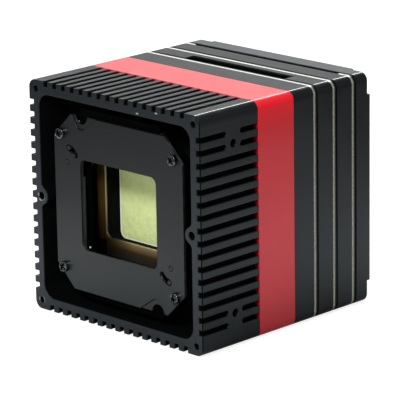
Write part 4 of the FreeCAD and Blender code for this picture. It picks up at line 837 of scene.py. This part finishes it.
def flat_sheet(name, half, height):
    """Square of the given half width, level, at a height: (u, v) -> (half u, half v, height)."""
    u, v = np.meshgrid([-1.0, 1.0], [-1.0, 1.0])
    corners = np.stack([half * u, half * v, np.full_like(u, height)], -1).reshape(-1, 3)
    mesh = bpy.data.meshes.new(name)
    mesh.from_pydata(corners.tolist(), [], [(0, 1, 3, 2)])
    sheet = bpy.data.objects.new(name, mesh)
    bpy.context.scene.collection.objects.link(sheet)
    return sheet


def floor_paper():
    """Matt white paper: plain paper for the light that bounces, white to the camera, and a ring of light
    for the module's gloss."""
    made, tree, place = new_material("matt white paper")
    rays = add(tree, "ShaderNodeLightPath", {}).node.outputs
    glossy = {0: rays["Is Glossy Ray"], 1: rays["Is Transmission Ray"]}
    gloss = add(tree, "ShaderNodeMath", glossy, operation="MAXIMUM")
    distance = add(tree, "ShaderNodeVectorMath", {0: place}, "Value", operation="LENGTH")
    inner = {"Value": distance, 1: POOL_RISE[0], 2: POOL_RISE[1], 3: POOL_INNER}
    rise = add(tree, "ShaderNodeMapRange", inner)
    outer = {"Value": distance, 1: POOL_FALL[0], 2: POOL_FALL[1], 3: 1.0, 4: POOL_OUTER}
    fall = add(tree, "ShaderNodeMapRange", outer)
    pool = add(tree, "ShaderNodeMath", {0: rise, 1: fall}, operation="MULTIPLY")
    glow = add(tree, "ShaderNodeMath", {0: gloss, 1: pool}, operation="MULTIPLY")
    spread = {"Value": distance, 1: WHITE_SPAN[0], 2: WHITE_SPAN[1], 3: WHITE_NEAR, 4: 1.0}
    white = add(tree, "ShaderNodeMapRange", spread)
    seen = {0: rays["Is Camera Ray"], 1: white, 2: glow}
    strength = add(tree, "ShaderNodeMath", seen, operation="MULTIPLY_ADD")
    light = add(tree, "ShaderNodeEmission", {"Strength": strength})
    sheet = {"Factor": rays["Is Camera Ray"], 6: PAPER, 7: PAPER_SHADED}
    shade = add(tree, "ShaderNodeMix", sheet, 2, data_type="RGBA")
    shade = add(tree, "ShaderNodeMix", {"Factor": gloss, 6: shade, 7: BLACK}, 2, data_type="RGBA")
    paper = add(tree, "ShaderNodeBsdfDiffuse", {"Color": shade})
    add(tree, "ShaderNodeOutputMaterial", {"Surface": add(tree, "ShaderNodeAddShader", {0: light, 1: paper})})
    return made


def softbox(name, heading, distance, width, height, power):
    """Rectangular lamp at a distance along a heading from the module's middle, facing it; power in watts."""
    lamp = bpy.data.lights.new(name, "AREA")
    lamp.shape = "RECTANGLE"
    lamp.size = width
    lamp.size_y = height
    lamp.energy = power
    made = bpy.data.objects.new(name, lamp)
    toward = Vector(heading).normalized()
    made.location = Vector((0, 0, AXIS_Z)) + distance * toward
    made.rotation_euler = toward.to_track_quat("Z", "Y").to_euler()
    bpy.context.scene.collection.objects.link(made)


floor = flat_sheet("floor", FLOOR_HALF, FLOOR_HEIGHT)
floor.data.materials.append(floor_paper())

world = bpy.data.worlds.new("studio")
bpy.context.scene.world = world
world.use_nodes = True
sky = world.node_tree
sky.nodes.clear()
rays = add(sky, "ShaderNodeLightPath", {}).node.outputs
glossy = {0: rays["Is Glossy Ray"], 1: rays["Is Transmission Ray"]}
gloss = add(sky, "ShaderNodeMath", glossy, operation="MAXIMUM")
heading = add(sky, "ShaderNodeTexCoord", {}, "Generated")
height = add(sky, "ShaderNodeSeparateXYZ", {0: heading}, "Z")
bands = {"Value": height, 1: HORIZON_BAND[0], 2: HORIZON_BAND[1], 3: HORIZON, 4: ZENITH}
band = add(sky, "ShaderNodeMapRange", bands)
seen = add(sky, "ShaderNodeMix", {0: gloss, 2: DOME, 3: band})
seen = add(sky, "ShaderNodeMix", {0: rays["Is Camera Ray"], 2: seen, 3: 1.0})
dome = add(sky, "ShaderNodeBackground", {"Strength": seen, "Color": WHITE})
add(sky, "ShaderNodeOutputWorld", {"Surface": dome})

softbox("key softbox", (0.35, -0.71, 0.61), distance=0.7, width=0.16, height=0.12, power=3.3)
softbox("rear strip", (-0.51, 0.68, 0.53), distance=0.6, width=0.5, height=0.05, power=1.05)
softbox("top softbox", (-0.15, 0.1, 1.0), distance=0.6, width=0.3, height=0.3, power=3.2)


# Camera: at the photograph's angle, in front of the module, to its right and a little
# above, slightly rolled. Its long lens keeps parallel edges nearly parallel.
EYE = (363.94 * MM, -365.03 * MM, 166.94 * MM)
AZIMUTH = math.radians(44.945)
ELEVATION = math.radians(15.845)
ROLL = math.radians(-0.932)
LENS_MM = 254.1
SENSOR_MM = 36.0
CLIP_START = 10 * MM


def camera_axes():
    """Right, up and back of a camera at an azimuth and elevation, then rolled about its view."""
    sa, ca, se, ce = math.sin(AZIMUTH), math.cos(AZIMUTH), math.sin(ELEVATION), math.cos(ELEVATION)
    back = np.array([sa * ce, -ca * ce, se])
    right = np.array([ca, sa, 0.0])
    up = np.cross(back, right)
    turn = np.array([[math.cos(ROLL), -math.sin(ROLL)], [math.sin(ROLL), math.cos(ROLL)]])
    across, down = turn @ np.stack([right, -up])
    return np.stack([across, -down, back], 1)


lens = bpy.data.cameras.new("camera")
lens.lens = LENS_MM
lens.sensor_width = SENSOR_MM
lens.clip_start = CLIP_START
camera = bpy.data.objects.new("camera", lens)
turn = Matrix(camera_axes().tolist()).to_4x4()
camera.matrix_world = Matrix.Translation(EYE) @ turn
bpy.context.scene.collection.objects.link(camera)
bpy.context.scene.camera = camera
bpy.context.scene.view_settings.view_transform = "Standard"
